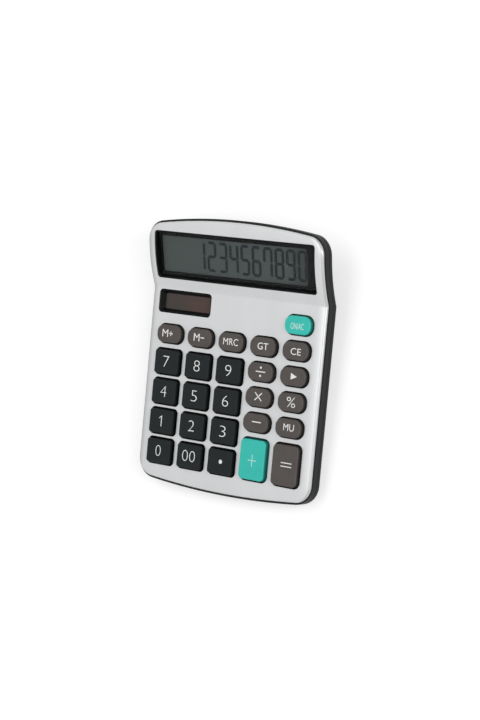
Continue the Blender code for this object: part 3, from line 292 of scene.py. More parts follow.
def fitted(thing, materials, slotName, *replaced, body="case", angle=40):
    if angle:
        thing.data.shade_smooth()
        thing.data.set_sharp_from_angle(angle=math.radians(angle))
        thing.modifiers.new("evenNormals", "WEIGHTED_NORMAL").keep_sharp = True
    if thing.type == "MESH":
        thing.data.transform(thing.matrix_world)  # the place goes into the mesh, as in the CAD nodes
        thing.matrix_world = Matrix()
    for name in materials.split():
        thing.data.materials.append(bpy.data.materials[name])
    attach(thing, body)
    if replaced:
        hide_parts(*replaced)
    return thing


def refined(node, material, slotName, width, segments=2, angle=40):
    # A copy of the CAD node with its doubled points joined and its edges softened
    shape = bmesh.new()
    shape.from_mesh(nodes[node].data)
    bmesh.ops.remove_doubles(shape, verts=shape.verts, dist=0.000002)
    bmesh.ops.dissolve_limit(shape, angle_limit=math.radians(0.3), verts=shape.verts, edges=shape.edges)
    bmesh.ops.recalc_face_normals(shape, faces=shape.faces)
    thing = softened(newObject(node + "_fine", meshOf(node, shape)), width, segments, angle)
    fitted(thing, material, slotName, node)


def feed(owner, target, value):  # links a socket to an input, or sets a plain value there
    if isinstance(value, bpy.types.NodeSocket):
        owner.node_tree.links.new(value, target)
    else:
        target.default_value = value


def addNode(owner, kind, *values, output=0, **named):
    # Named values go to the node's settings and inputs, the others to its inputs in their order
    node = owner.node_tree.nodes.new("ShaderNode" + kind)
    for name, value in named.items():
        if name in node.inputs:
            feed(owner, node.inputs[name], value)
        else:
            setattr(node, name, value)
    for target, value in zip(node.inputs, values):
        feed(owner, target, value)
    return node.outputs[output]


def setShader(material, name, value):
    feed(material, material.node_tree.nodes["Principled BSDF"].inputs[name], value)


def baseMaterial(name, colour, roughness, metallic=0.0, specular=0.5, alpha=1.0):
    material = bpy.data.materials.new(name)
    material.use_nodes = True
    setShader(material, "Base Color", (*colour, 1))
    setShader(material, "Roughness", roughness)
    setShader(material, "Metallic", metallic)
    setShader(material, "Specular IOR Level", specular)
    setShader(material, "Alpha", alpha)
    return material


def objectPlace(material):
    return addNode(material, "TexCoord", output="Object")


def noise(material, scale, detail, stretch=(1, 1, 1), **named):
    place = addNode(material, "Mapping", objectPlace(material), Scale=stretch)
    return addNode(material, "TexNoise", place, Scale=scale, Detail=detail, **named)


def ranged(owner, value, low, high, start=0, end=1):
    return addNode(owner, "MapRange", value, start, end, low, high)


def ramped(material, value, *stops):  # stops of (place, colour)
    ramp = addNode(material, "ValToRGB", value)
    elements = ramp.node.color_ramp.elements
    while len(elements) < len(stops):
        elements.new(1.0)
    for element, (place, colour) in zip(elements, stops):
        element.position = place
        element.color = (*colour, 1)
    return ramp


def addBump(material, height, depth, strength=0.4):
    bump = addNode(material, "Bump", Strength=strength, Distance=depth, Height=height)
    setShader(material, "Normal", bump)


def addGloss(material, value, low, high):
    setShader(material, "Roughness", ranged(material, value, low, high))


def plastic(name, dark, light, rough, scale, depth, specular=0.22):
    # Moulded plastic: a fine spark-eroded grain, with broad changes of gloss and tone
    material = baseMaterial(name, light, rough[0], specular=specular)
    broad = noise(material, scale / 22, 2)
    addBump(material, noise(material, scale, 4, Roughness=0.65), depth)
    addGloss(material, broad, *rough)
    setShader(material, "Base Color", ramped(material, broad, (0.3, dark), (0.7, light)))
    return material


def metal(name, dark, light, rough, scale, stretch, depth, metallic=1.0):
    # Fine drawn or sprayed grain, stretched along one way of the sheet
    material = baseMaterial(name, light, rough[0], metallic)
    grain = noise(material, scale, 5, stretch, Roughness=0.6)
    broad = noise(material, scale / 30, 2, stretch)
    addBump(material, grain, depth, 0.3)
    addGloss(material, grain, *rough)
    setShader(material, "Base Color", ramped(material, broad, (0.3, dark), (0.7, light)))


def scaleColour(material, amount):  # the base colour times a number or a grey
    target = material.node_tree.nodes["Principled BSDF"].inputs["Base Color"]
    colour = target.links[0].from_socket
    feed(material, target, addNode(material, "VectorMath", colour, amount, operation="MULTIPLY"))


def toneAcross(name, *tones):  # scales the colour by tones set at places from left to right
    material = bpy.data.materials[name]
    first, last = tones[0][0], tones[-1][0]
    across = addNode(material, "SeparateXYZ", objectPlace(material), output="X")
    stops = [((x - first) / (last - first), (tone, tone, tone)) for x, tone in tones]
    scaleColour(material, ramped(material, ranged(material, across, 0, 1, first, last), *stops))


def paintShadeOnSides(name, sideShade, start, end):  # painted shade: the colour darkens where the sheet turns down at the sides
    material = bpy.data.materials[name]
    normal = addNode(material, "NewGeometry", output="Normal")
    sideways = addNode(material, "SeparateXYZ", normal, output="X")
    outward = addNode(material, "Math", sideways, operation="ABSOLUTE")
    scaleColour(material, ranged(material, outward, 1, sideShade, start, end))


def keyPlastic(name, dark, light, rough, specular=0.22):  # satin, with painted shade that darkens the flanks towards the plate
    material = plastic(name, dark, light, rough, 3200, 0.00003, specular)
    up = keyboard.to_3x3() @ Vector((0, 0, 1))
    place = objectPlace(material)
    height = addNode(material, "VectorMath", place, up, output="Value", operation="DOT_PRODUCT")
    top = up.dot(keyboard.translation) + keyForm["height"] - 0.4 * keyForm["edge"]
    scaleColour(material, ranged(material, height, keyForm["flankShade"], 1, top - keyForm["flankShadeDepth"], top))


def clearPane():
    material = baseMaterial("clearPane", (0.02, 0.024, 0.024), 0.05, alpha=0.07)
    ripple = noise(material, 45, 2)
    addBump(material, ripple, 0.000002, 0.1)
    addGloss(material, ripple, 0.03, 0.07)


def solarFilm(middle, reach, cells):
    # Dark film in cells side by side, redder to the right, each with a thin darker line at its joint
    material = baseMaterial("solarFilm", (0.05, 0.036, 0.029), 0.25, specular=0.3)
    x = addNode(material, "SeparateXYZ", objectPlace(material), output="X")
    along = addNode(material, "MapRange", x, middle - reach, middle + reach, 0, cells, clamp=False)
    part = addNode(material, "Math", along, operation="FRACT")
    line = addNode(material, "Math", part, 0.03, operation="LESS_THAN")
    cloud = noise(material, 140, 3)
    shift = addNode(material, "Math", along, 0.6 / cells, cloud, operation="MULTIPLY_ADD")
    film = ramped(material, shift, (0.45, (0.046, 0.04, 0.035)), (1.0, (0.076, 0.043, 0.034)))
    seam = (0.044, 0.032, 0.026, 1)
    mix = addNode(material, "Mix", data_type="RGBA", Factor=line, A=film, B=seam, output="Result")
    setShader(material, "Base Color", mix)
    addGloss(material, cloud, 0.2, 0.32)


def boardLaminate():
    # Green lacquer over copper tracks that run in stepped lines
    material = baseMaterial("boardLaminate", (0.012, 0.12, 0.05), 0.4, specular=0.4)
    tracks = addNode(
        material, "TexBrick", objectPlace(material), Scale=420, offset=0.5, squash=0.6,
        Color1=(0.01, 0.1, 0.04, 1), Color2=(0.014, 0.13, 0.052, 1), Mortar=(0.03, 0.2, 0.085, 1),
    )
    setShader(material, "Base Color", tracks)
    addBump(material, tracks.node.outputs["Fac"], 0.00003)


inkGrain = ((0.24, 0.32), 900, 0.000004, 0.3)
plastics = dict(
    # darkest and lightest colour, roughness, fineness and depth of the grain, specular
    housingPlastic=((0.009, 0.0095, 0.0095), (0.013, 0.0135, 0.0135), (0.46, 0.58), 2600, 0.00005, 0.2),
    bezelPlastic=((0.0016, 0.0023, 0.0024), (0.0026, 0.0034, 0.0036), (0.34, 0.44), 1800, 0.00001, 0.12),
    printWhite=((0.9, 0.9, 0.88), (0.94, 0.94, 0.92), (0.4, 0.5), 4000, 0.00001),
    printPaleTeal=((0.6, 0.86, 0.82), (0.66, 0.9, 0.86), (0.4, 0.5), 4000, 0.00001),
    displayGlass=((0.096, 0.118, 0.112), (0.1, 0.122, 0.117), (0.26, 0.3), 8000, 0.000002, 0.12),
    segmentInk=((0.004, 0.009, 0.013), (0.006, 0.011, 0.016), *inkGrain),
    segmentShade=((0.03, 0.041, 0.041), (0.034, 0.045, 0.045), *inkGrain),
    domeRubber=((0.46, 0.46, 0.44), (0.52, 0.52, 0.5), (0.6, 0.75), 1300, 0.00004),
    footRubber=((0.012, 0.012, 0.012), (0.02, 0.02, 0.02), (0.7, 0.9), 1900, 0.00008),
    chipEpoxy=((0.008, 0.008, 0.008), (0.014, 0.014, 0.014), (0.25, 0.4), 700, 0.00005, 0.5),
    ribbonFilm=((0.28, 0.13, 0.03), (0.34, 0.17, 0.05), (0.3, 0.4), 700, 0.00001, 0.5),
    batterySleeve=((0.05, 0.055, 0.06), (0.07, 0.075, 0.08), (0.22, 0.32), 500, 0.00001, 0.5),
)
keyPlastics = dict(
    charcoalKey=((0.007, 0.0106, 0.0118), (0.0088, 0.013, 0.0142), (0.42, 0.52), 0.18),
    brownGreyKey=((0.088, 0.077, 0.072), (0.1, 0.088, 0.083), (0.42, 0.52), 0.2),
    tealKey=((0.045, 0.555, 0.47), (0.053, 0.595, 0.505), (0.38, 0.48)),
)
metals = dict(
    # the same, with the grain's stretch before its depth, and how metallic the sheet is
    satinPlate=((0.66, 0.67, 0.676), (0.7, 0.71, 0.716), (0.28, 0.36), 1600, (1, 0.15, 1), 0.000003, 0.5),
    screwSteel=((0.4, 0.4, 0.39), (0.5, 0.5, 0.49), (0.26, 0.42), 2400, (1, 1, 1), 0.00002),
    contactMetal=((0.56, 0.55, 0.52), (0.66, 0.65, 0.62), (0.2, 0.34), 2200, (1, 1, 0.3), 0.00001),
)
for make, table in ((plastic, plastics), (keyPlastic, keyPlastics), (metal, metals)):
    for name, values in table.items():
        make(name, *values)
clearPane()
boardLaminate()
# Painted shade: the plate is darkened along its left edge
toneAcross("satinPlate", (-0.0582, 0.58), (-0.057, 0.72), (-0.056, 0.86), (-0.0545, 1.0))
# Painted shade: the plate is darkened where it turns down at its sides
paintShadeOnSides("satinPlate", 0.74, 0.26, 0.45)
# Painted shade: the glass darkens over the last digits and is black at its right edge
toneAcross("displayGlass", (0.033, 1.0), (0.0365, 0.8), (0.0446, 0.68), (0.0457, 0.04))
print("materials made")


# Keys: their sizes and places come from the CAD, the print on them is set out here

keyPrint = {name: name[4:] for name in digitKeys} | dict(
    key_plus="plus", key_equals="equals", key_minus="minus", key_multiply="times", key_divide="divide",
    key_backspace="arrow", key_mark_up="MU", key_percent="%", key_memory_plus="M+", key_memory_minus="M-",
    key_memory_recall="MRC", key_grand_total="GT", key_clear_entry="CE", key_on="ON/AC",
)
printForm = dict(
    # width, height and weight of the letters
    digit=(0.0041, 0.006, -0.022),
    words={
        "0": (0.0036, 0.006, -0.022), "00": (0.0088, 0.006, -0.022), "%": (0.0057, 0.0055, -0.008),
        "M": (0.004, 0.0041, 0), "MRC": (0.01, 0.0037, 0), "MU": (0.0068, 0.0037, 0),
        "CE": (0.0065, 0.0036, 0), "GT": (0.0069, 0.0037, 0.006), "ON/AC": (0.0084, 0.0034, 0.006),
    },
    # middle, length, stroke and turn in degrees of every bar, middle and radius of every disc
    bars={
        "1": ((0.0004, 0, 0.006, 0.00056, 90), (-0.0004, 0.0021, 0.0019, 0.00042, 38)),
        "plus": ((0, 0, 0.0054, 0.00042, 0), (0, 0, 0.0064, 0.00042, 90)),
        "equals": ((0, 0.00095, 0.0069, 0.000504, 0), (0, -0.00095, 0.0069, 0.000504, 0)),
        "minus": ((0, 0, 0.0059, 0.00056, 0),),
        "times": ((0, 0, 0.0062, 0.00056, 43), (0, 0, 0.0062, 0.00056, -43)),
        "divide": ((0, 0, 0.0062, 0.00056, 0),),
        "M+": ((0.0021, 0, 0.0025, 0.0006, 0), (0.0021, 0, 0.0025, 0.0006, 90)),
        "M-": ((0.0021, 0, 0.0025, 0.0006, 0),),
    },
    discs={"point": ((0, 0, 0.00112),), "divide": ((0, 0.0022, 0.00062), (0, -0.0022, 0.00062))},
    arrow=((-0.0017, -0.0018), (0.0022, 0), (-0.0017, 0.0018)), discSteps=24, letterShift=-0.0018,
    # how far the prints lie off the middles of their keys: all, those to the right, and single ones
    shift=(0.00035, 0.00025), spread=0.008,
    aside={
        "M+": (-0.0005, 0), "CE": (0, -0.0005), "ON/AC": (-0.0006, -0.0008), "plus": (-0.0002, -0.0006),
        "point": (0.0005, 0), "equals": (0.0006, 0.0003), "MU": (0, 0.0002), "times": (0, 0.0003),
        "minus": (0.0004, 0.0003),
    },
)


def letterMesh(text, width, height, weight):  # a word in the built-in font, stretched and centred
    curve = bpy.data.curves.new("print", "FONT")
    curve.body = text
    curve.size = 1.0
    curve.offset = weight
    curve.resolution_u = 5
    curve.fill_mode = "FRONT"
    thing = newObject("print", curve)
    mesh = finalMesh(thing)
    bpy.data.objects.remove(thing, do_unlink=True)
    for axis, size in enumerate((width, height)):
        places = [vertex.co[axis] for vertex in mesh.vertices]
        low, high = min(places), max(places)
        for vertex in mesh.vertices:
            vertex.co[axis] = (vertex.co[axis] - (high + low) / 2) * (size / (high - low))
    return mesh


def signMesh(text):  # a sign of flat bars and discs, some with the letter M before it
    form = printForm
    shape = bmesh.new()
    if text[0] == "M":
        letter = letterMesh("M", *form["words"]["M"])
        letter.transform(Matrix.Translation((form["letterShift"], 0, 0)))
        shape.from_mesh(letter)
    outlines = [form["arrow"]] if text == "arrow" else []
    for x, y, length, stroke, degrees in form["bars"].get(text, ()):
        turn = math.radians(degrees)
        along = Vector((math.cos(turn), math.sin(turn))) * length / 2
        across = Vector((-math.sin(turn), math.cos(turn))) * stroke / 2
        corners = (-along - across, along - across, along + across, -along + across)
        outlines.append([Vector((x, y)) + corner for corner in corners])
    for x, y, radius in form["discs"].get(text, ()):
        outlines.append([(x + point[0], y + point[1]) for point in circle(radius, form["discSteps"])])
    for outline in outlines:
        shape.faces.new([shape.verts.new((*point, 0)) for point in outline])
    return meshOf("sign", shape)


def printedMesh(text):
    if text in printForm["words"] or text in "23456789":
        return letterMesh(text, *printForm["words"].get(text, printForm["digit"]))
    return signMesh(text)


def keyShape(name):  # middle, half sizes, corner radius and its steps, in the keyboard's plane
    low, high = measured(name, fromWorld)
    middle = (low + high) / 2
    half = ((high.x - low.x) / 2 - keyForm["flange"], (high.y - low.y) / 2 - keyForm["flange"])
    if name in digitKeys:
        return middle.xy, half, keyForm["digitCorner"], 8
    if name in ("key_plus", "key_equals"):
        return middle.xy, half, keyForm["tallCorner"], 10
    return middle.xy, half, half[1] - keyForm["flatEnd"], 14


def capMesh(name, half, corner, steps):
    low, high = measured(name, fromWorld)
    deck = -(face["sheet"] + seat) - face["deck"] - seat
    rows = [(-keyForm["flange"], low.z), (-keyForm["flange"], deck), (0, deck)]
    for step in range(keyForm["edgeSteps"] + 1):
        turn = math.pi / 2 * step / keyForm["edgeSteps"]
        inset = keyForm["draft"] + keyForm["edge"] * (1 - math.cos(turn))
        rows.append((inset, keyForm["height"] - keyForm["edge"] * (1 - math.sin(turn))))
    rings = []
    for inset, height in rows:
        ring = roundedRing(half[0] - inset, half[1] - inset, corner - inset, steps)
        rings += levels(ring, height)
    return loftMesh(name, rings)


keyFinish = dict(
    teal_key="tealKey printPaleTeal", charcoal_key="charcoalKey printWhite",
    brown_grey_key="brownGreyKey printWhite",
)


def makeKey(name):
    middle, half, corner, steps = keyShape(name)
    slotName = "charcoal_key" if name in digitKeys else "brown_grey_key"
    if name in ("key_plus", "key_on"):
        slotName = "teal_key"
    shape = bmesh.new()
    shape.from_mesh(capMesh(name, half, corner, steps))
    capFaces = len(shape.faces)
    printed = printedMesh(keyPrint[name])
    aside = printForm["aside"].get(keyPrint[name], (0, 0))
    for vertex in printed.vertices:
        vertex.co.x += printForm["shift"][0] + middle.x * printForm["spread"] + aside[0]
        vertex.co.y += printForm["shift"][1] + aside[1]
        vertex.co.z = keyForm["height"] + keyForm["legendLift"]
    shape.from_mesh(printed)
    shape.faces.ensure_lookup_table()
    shape.normal_update()
    for patch in shape.faces[capFaces:]:
        patch.material_index = 1
        if patch.normal.z < 0:
            patch.normal_flip()
    cap = newObject(name + "_cap", meshOf(name, shape), onKeyboard(*middle))
    fitted(cap, keyFinish[slotName], slotName, name, body=name)


for name in keyPrint:
    makeKey(name)
print("keys made:", len(keyPrint))


# Openings that the plate and the deck share

displayForm = dict(
    side=0.0053, start=0.00585, rearSpace=0.00912, corner=0.0018, clearance=0.00035, recess=0.0005,
    edge=0.0006, funnelInset=0.0013, funnelDepth=0.0016, window=0.0008, ledge=0.0006, sideInset=0.0024,
    endInset=0.0033, border=0.002, glass=0.0022, skirt=0.0012, skirtCorner=0.003, glassCorner=0.0009,
    flange=0.0009, flangeCorner=0.004, flangeThickness=0.0011, sideSteps=24, cornerSteps=6,
    softEdge=0.0001, paneEdge=0.00008,
)
solarForm = dict(
    left=0.0055 - face["halfWidth"], right=-0.017, length=0.013, rear=0.0008, corner=0.0022,
    frame=0.0019, flange=0.0009, depth=0.0029, lap=0.0007, cell=0.0011, cells=4,
)
overrun = 0.001  # how far a cutter reaches past what it cuts
deckTop = -(face["sheet"] + seat)
deckBottom = deckTop - face["deck"]
rimTop = -(face["roll"] + seat)
flangeTop = deckBottom - seat
displayEnd = face["rearReach"] - displayForm["rearSpace"]
displayHalfWidth = face["halfWidth"] - displayForm["side"]
displayHalfReach = (displayEnd - displayForm["start"]) / 2
displayMiddle = (displayEnd + displayForm["start"]) / 2
solarHalf = ((solarForm["right"] - solarForm["left"]) / 2, solarForm["length"] / 2)
solarMiddle = (solarForm["left"] + solarHalf[0], -solarForm["rear"] - solarHalf[1])


def openingTool(inPlate=False):  # every opening as one prism, joined in one cutter for the flat layout
    outlines = []
    for name in keyPrint:
        middle, half, corner, steps = keyShape(name)
        gap = (keyForm["clearance"], keyForm["clearance"])
        if inPlate:
            gap = keyForm["plateGap" if steps < 14 else "pillPlateGap"]
        at = (middle.x, middle.y - kinkY)
        outlines.append(roundedRing(half[0] + gap[0], half[1] + gap[1], corner + min(gap), steps, at))
    wide = (displayHalfWidth, displayHalfReach, displayForm["corner"], 6)
    outlines.append(roundedRing(*wide, (0, displayMiddle)))
    outlines.append(roundedRing(*solarHalf, solarForm["corner"], 6, solarMiddle))
    shape = bmesh.new()
    for ring in outlines:
        shape.from_mesh(loftMesh("opening", levels(ring, deckBottom - overrun, overrun)))
    return newObject("openings", inStrips(meshOf("openings", shape)), keyboard)


def joined(things):  # one object from several that don't touch
    shape = bmesh.new()
    for thing in things:
        copy = thing.data.copy()
        copy.transform(thing.matrix_world)
        shape.from_mesh(copy)
        bpy.data.objects.remove(thing, do_unlink=True)
    return newObject("joinedTools", meshOf("joinedTools", shape))


def bendDown(thing):
    for vertex in thing.data.vertices:
        vertex.co = bent(vertex.co)
    return thing


# Face plate: a thin sheet whose edge rolls over all round

plateForm = dict(rollSteps=8, openingEdge=0.00012)


def makeFacePlate():
    slope, radius, start = crownStart()
    steps = plateForm["rollSteps"]
    turns = [slope + (math.pi / 2 - slope) * step / steps for step in range(steps + 1)]
    rings = crownRings(0)[:-1]
    for reach, order in ((radius, turns), (radius - face["sheet"], reversed(turns))):
        for turn in order:
            inset = face["rim"] + radius - reach * math.sin(turn)
            rings.append(plateRing(inset, reach * math.cos(turn) - face["roll"]))
    rings += crownRings(-face["sheet"])[-2::-1]
    sheet = newObject("facePlateSheet", inStrips(loftMesh("facePlate", rings)), keyboard)
    shaped(sheet, difference=[openingTool(True)])
    bendDown(softened(sheet, plateForm["openingEdge"], 2, 60))
    fitted(sheet, "satinPlate", "silver_plate", "face_plate", angle=30)


makeFacePlate()
print("face plate made")


# Housings, joined at the seam by a tongue and groove

housingForm = dict(
    shelf=0.0008, footHeight=0.001, floor=0.002, baseEdge=0.0008, sideSlope=0.68, endSlope=0.3,
    cornerWidth=0.0005, cornerDrop=0.001, rib=0.0012, ribEndSpace=0.0006, travel=0.0015,
    flangeThickness=0.001, postRadius=0.0019, postInset=0.0024, postShares=(-0.82, -0.07, 0.68),
    upperBoss=0.0019, lowerBoss=0.0029, bossShare=0.5, frontScrew=(0.03, 0.0064),
    midScrew=(0.0135, 0.00275), shank=0.00085, smallShank=0.0007,
    headRadius=0.0018, headHeight=0.0012, smallHeadRadius=0.0014, smallHeadHeight=0.0008, grip=0.0028,
    bite=0.0036, clearance=0.0003, edge=0.00016,
)
baseZ = housingForm["footHeight"]
floorZ = baseZ + housingForm["floor"]
boardLow, boardHigh = measured("circuit_board", fromWorld)
sheetLow, sheetHigh = measured("dome_sheet", fromWorld)


def boardScrews():
    x = face["halfWidth"] - wall - housingForm["postInset"]
    middle, half = (sheetLow.y + sheetHigh.y) / 2, (sheetHigh.y - sheetLow.y) / 2
    reaches = [middle + share * half for share in housingForm["postShares"]]
    return [Vector((side * x, y)) for side in (-1, 1) for y in reaches]


def caseScrews():
    frontX, inset = housingForm["frontScrew"]
    midX, setback = housingForm["midScrew"]
    rows = ((frontX, kinkY - face["frontReach"] + inset), (midX, kinkY - setback))
    return [Vector((side * x, y)) for x, y in rows for side in (-1, 1)]


def baseHeight(y):  # of the underside, in the keyboard's frame
    lift = keyboard.translation.z + y * math.sin(face["tilt"])
    return (baseZ - lift) / math.cos(face["tilt"])


def bossJoint(y):
    return baseHeight(y) + housingForm["bossShare"] * (deckBottom - baseHeight(y))


def makeUpperHousing():
    form = housingForm
    half = wall / 2
    stepIn = face["rim"] + face["roll"]
    groove = -seam + face["lip"] + seat
    rows = (
        (0, rimTop), (0, -seam), (half, -seam), (half, groove), (wall, groove),
        (wall, deckBottom - form["cornerDrop"]),
    )
    rings = crownRings(deckTop, stepIn) + [plateRing(stepIn, rimTop)]
    rings += [caseRing(*row) for row in rows] + [plateRing(stepIn + form["cornerWidth"], deckBottom)]
    shell = newObject("upperShell", inStrips(loftMesh("upperShell", rings)))
    inside = deckBottom + face["deck"] / 2
    low = flangeTop - form["flangeThickness"] - form["travel"] - seat
    memory, half, _, _ = keyShape("key_memory_plus")
    columns = sorted({round(keyShape(name)[0].x, 5) for name in keyPrint})
    added, holes = [], []
    for left, right in zip(columns, columns[1:]):
        x = (left + right) / 2
        front, rear = sheetLow.y - kinkY + form["ribEndSpace"], memory.y + half[1] - kinkY
        added.append(block((x - form["rib"] / 2, front, low), (x + form["rib"] / 2, rear, inside)))
    for place in boardScrews():
        at = (place.x, place.y - kinkY)
        foot = boardHigh.z + seat
        added.append(rod(at, form["postRadius"], foot, inside))
        holes.append(rod(at, form["smallShank"] + form["clearance"], foot - overrun, deckBottom))
    for place in caseScrews():
        at = (place.x, place.y - kinkY)
        foot = bossJoint(place.y) + seat
        added.append(rod(at, form["upperBoss"], foot, inside))
        top = foot + form["bite"] + form["clearance"]
        holes.append(rod(at, form["shank"] + form["clearance"], foot - overrun, top))
    openings = openingTool()
    openings.matrix_world = Matrix()
    shaped(shell, union=[joined(added)], difference=[joined(holes), openings])
    shell.matrix_world = keyboard
    bendDown(softened(shell, form["edge"], 2, 60))
    fitted(shell, "housingPlastic", "black_plastic", "upper_housing")


def bandRing(inset, height):
    return [keyboard @ bent(point) for point in caseRing(inset, height)]


def hullRing(level, inset, start=None):  # the underside's outline on its way from the band to the base
    band = bandRing(housingForm["shelf"] if start is None else start, -face["band"])
    front, rear = band[0], max(band, key=lambda point: point.y)
    ends = [housingForm["endSlope"] * (point.z - baseZ) + inset for point in (front, rear)]
    ring = []
    for point in band:
        drop = point.z - baseZ
        side = housingForm["sideSlope"] * drop + inset
        share = (point.y - front.y) / (rear.y - front.y)
        y = point.y + ends[0] * (1 - share) - ends[1] * share
        base = Vector((point.x * (1 - side / face["halfWidth"]), y, baseZ))
        ring.append(point.lerp(base, (point.z - level) / drop))
    return ring


doorForm = dict(
    margin=0.0006, frontMargin=0.0016, tongue=0.0014, lip=0.0009, bayWall=0.0012, clearance=0.0005,
    grooves=4, setback=0.0032, gripWidth=0.015, pitch=0.0016, grooveDepth=0.0005, edge=0.00018,
)
batteryForm = dict(
    radius=0.00715, length=0.0492, nub=0.0013, setback=0.0135, springSpace=0.0052, contact=0.0005,
)
baseRing = hullRing(baseZ, housingForm["baseEdge"])
baseRear = max(point.y for point in baseRing)
batteryY = baseRear - batteryForm["setback"]
batteryZ = floorZ + doorForm["clearance"] + batteryForm["radius"]
bayRadius = batteryForm["radius"] + doorForm["clearance"]
bayEnds = (
    -batteryForm["length"] / 2 - batteryForm["springSpace"],
    batteryForm["length"] / 2 + batteryForm["nub"] + batteryForm["contact"] + 2 * seat,
)
bayHalf = (bayEnds[1] - bayEnds[0]) / 2
bayShift = -(bayEnds[0] + bayEnds[1]) / 2
doorHalf = bayHalf + doorForm["margin"]
doorFront = batteryY - bayRadius - doorForm["frontMargin"]
raisedTop = floorZ + seat + doorForm["bayWall"]


def hullSolid(inset):
    edge = housingForm["baseEdge"]
    rows = ((baseZ, edge + inset), (baseZ + edge, inset), (raisedTop + overrun, inset))
    return lofted("hullTool", [hullRing(*row) for row in rows])


def doorBlank(grow):
    form = doorForm
    rear = baseRear + wall + housingForm["endSlope"] * housingForm["floor"] + 2 * overrun
    tongueLow = baseZ + form["lip"] + seat - grow
    right = [
        (doorHalf + grow, baseZ - overrun), (doorHalf + grow, tongueLow),
        (doorHalf + form["tongue"] + grow, tongueLow), (doorHalf + form["tongue"] + grow, floorZ + grow),
    ]
    section = right + [(-x, z) for x, z in reversed(right)]
    return loftMesh("doorBlank", [[(x, y, z) for x, z in section] for y in (doorFront - grow, rear)])


def bayBlock(radius, low, spread):  # half a tube over a trough
    ring = circle(radius, 64, 33) + [(-radius, low - batteryZ), (radius, low - batteryZ)]
    ends = (-bayHalf - spread, bayHalf + spread)
    rings = [[(x, batteryY + y, batteryZ + z) for y, z in ring] for x in ends]
    return lofted("bayTool", rings)


def makeLowerHousing():
    form = housingForm
    tongue = wall / 2 + seat
    underSeam = -seam - seat
    top = -seam + face["lip"]
    bands = (
        (wall, -face["band"]), (wall, top), (tongue, top), (tongue, underSeam), (0, underSeam),
        (0, -face["band"]), (form["shelf"], -face["band"]),
    )
    rings = [hullRing(floorZ, 0, wall)] + [bandRing(*band) for band in bands]
    rings += [hullRing(baseZ + form["baseEdge"], 0), hullRing(baseZ, form["baseEdge"])]
    tray = lofted("lowerTray", rings)
    raisedX = doorHalf + doorForm["tongue"] + seat + doorForm["bayWall"]
    low = (-raisedX, doorFront - seat - doorForm["bayWall"], floorZ - form["floor"] / 2)
    raised = block(low, (raisedX, baseRear + wall, raisedTop))
    shaped(raised, intersect=[hullSolid(wall / 2)])
    bosses, recesses, holes = [], [], []
    for place in caseScrews():
        bottom, joint = baseHeight(place.y), bossJoint(place.y)
        bosses.append(rod(place, form["lowerBoss"], bottom + form["floor"] / 2, joint, keyboard))
        ledge = joint - form["grip"]
        headHole, shankHole = (form[name] + form["clearance"] for name in ("headRadius", "shank"))
        recesses.append(rod(place, headHole, bottom - overrun, ledge, keyboard))
        holes.append(rod(place, shankHole, ledge - overrun / 2, joint + overrun, keyboard))
    for i in range(1, 5):
        low, high = measured(f"foot_{i}")
        middle, radius = (low + high) / 2, (high.x - low.x) / 2
        recesses.append(rod(middle, radius + seat, baseZ - overrun, high.z + seat, steps=48))
    bayShell = bayBlock(bayRadius + doorForm["bayWall"], floorZ, doorForm["bayWall"])
    bay = bayBlock(bayRadius, baseZ + doorForm["lip"], 0)
    slot = newObject("slotTool", doorBlank(seat))
    cutters = [joined(recesses), joined(holes), bay, slot]
    shaped(tray, union=[raised, bayShell, joined(bosses)], difference=cutters)
    fitted(softened(tray, form["edge"], 2, 50), "housingPlastic", "black_plastic", "lower_housing")


def makeBatteryDoor():
    form = doorForm
    door = newObject("slidingDoor", doorBlank(0))
    grooves = []
    for i in range(form["grooves"]):
        y = doorFront + form["setback"] + i * form["pitch"]
        low = (-form["gripWidth"] / 2, y, baseZ - overrun)
        grooves.append(block(low, (-low[0], y + form["pitch"] / 2, baseZ + form["grooveDepth"])))
    shaped(door, intersect=[hullSolid(0)], difference=[joined(grooves)])
    softened(door, form["edge"], 3, 50)
    fitted(door, "housingPlastic", "black_plastic", "battery_door", body="battery_door")


makeUpperHousing()
makeLowerHousing()
makeBatteryDoor()
print("housings and battery door made")


# Display: a funnel-shaped bezel, its clear window, and the glass with its dark digits

def displayFrame():
    start, end = (Vector(onFace(cadSide, reach)) for reach in (displayForm["start"], displayEnd))
    chord = end - start
    middle = (start + end) / 2
    turn = Matrix.Rotation(math.atan2(chord.y, chord.x), 4, "X")
    return Matrix.Translation((0, middle.x, middle.y)) @ turn, chord.length / 2


display, displayHalf = displayFrame()


def sidedRing(halfX, halfY, radius):  # with points along its two sides, so that it can arch
    ring = roundedRing(halfX, halfY, radius, displayForm["cornerSteps"])
    points = []
    for point, after in zip(ring, ring[1:] + ring[:1]):
        points.append(point)
        if abs(after.y - point.y) > halfY:
            for step in range(1, displayForm["sideSteps"]):
                points.append(point.lerp(after, step / displayForm["sideSteps"]))
    return points


def flatRing(inset, depth):
    corner = max(displayForm["corner"] - inset, displayForm["corner"] / 2)
    ring = sidedRing(displayHalfWidth - inset, displayHalf - inset, corner)
    return [display @ Vector((*point, -depth)) for point in ring]


def archedRing(inset, height, corner=None):
    corner = corner or displayForm["corner"] - min(inset, displayForm["corner"] / 2)
    ring = sidedRing(displayHalfWidth - inset, displayHalfReach - inset, corner)
    return [bent((point.x, point.y + displayMiddle, height)) for point in ring]


def viewRing(grow, depth, corner=displayForm["glassCorner"]):
    halfX = displayHalfWidth - displayForm["sideInset"] + grow
    ring = sidedRing(halfX, displayHalf - displayForm["endInset"] + grow, corner)
    return [display @ Vector((*point, -depth)) for point in ring]


segmentForm = dict(
    width=0.0046, height=0.0154, stroke=0.0015, gap=0.00008, slant=0.03, pitch=0.0075, lastX=0.0424,
    up=0.0004, row="1234567890", lift=0.00004, shadow=(0.0003, -0.0002),
)
segmentBars = "abcdef bc abged abgcd fgbc afgcd afgedc fabc abcdefg abcdfg".split()  # from 0 to 9


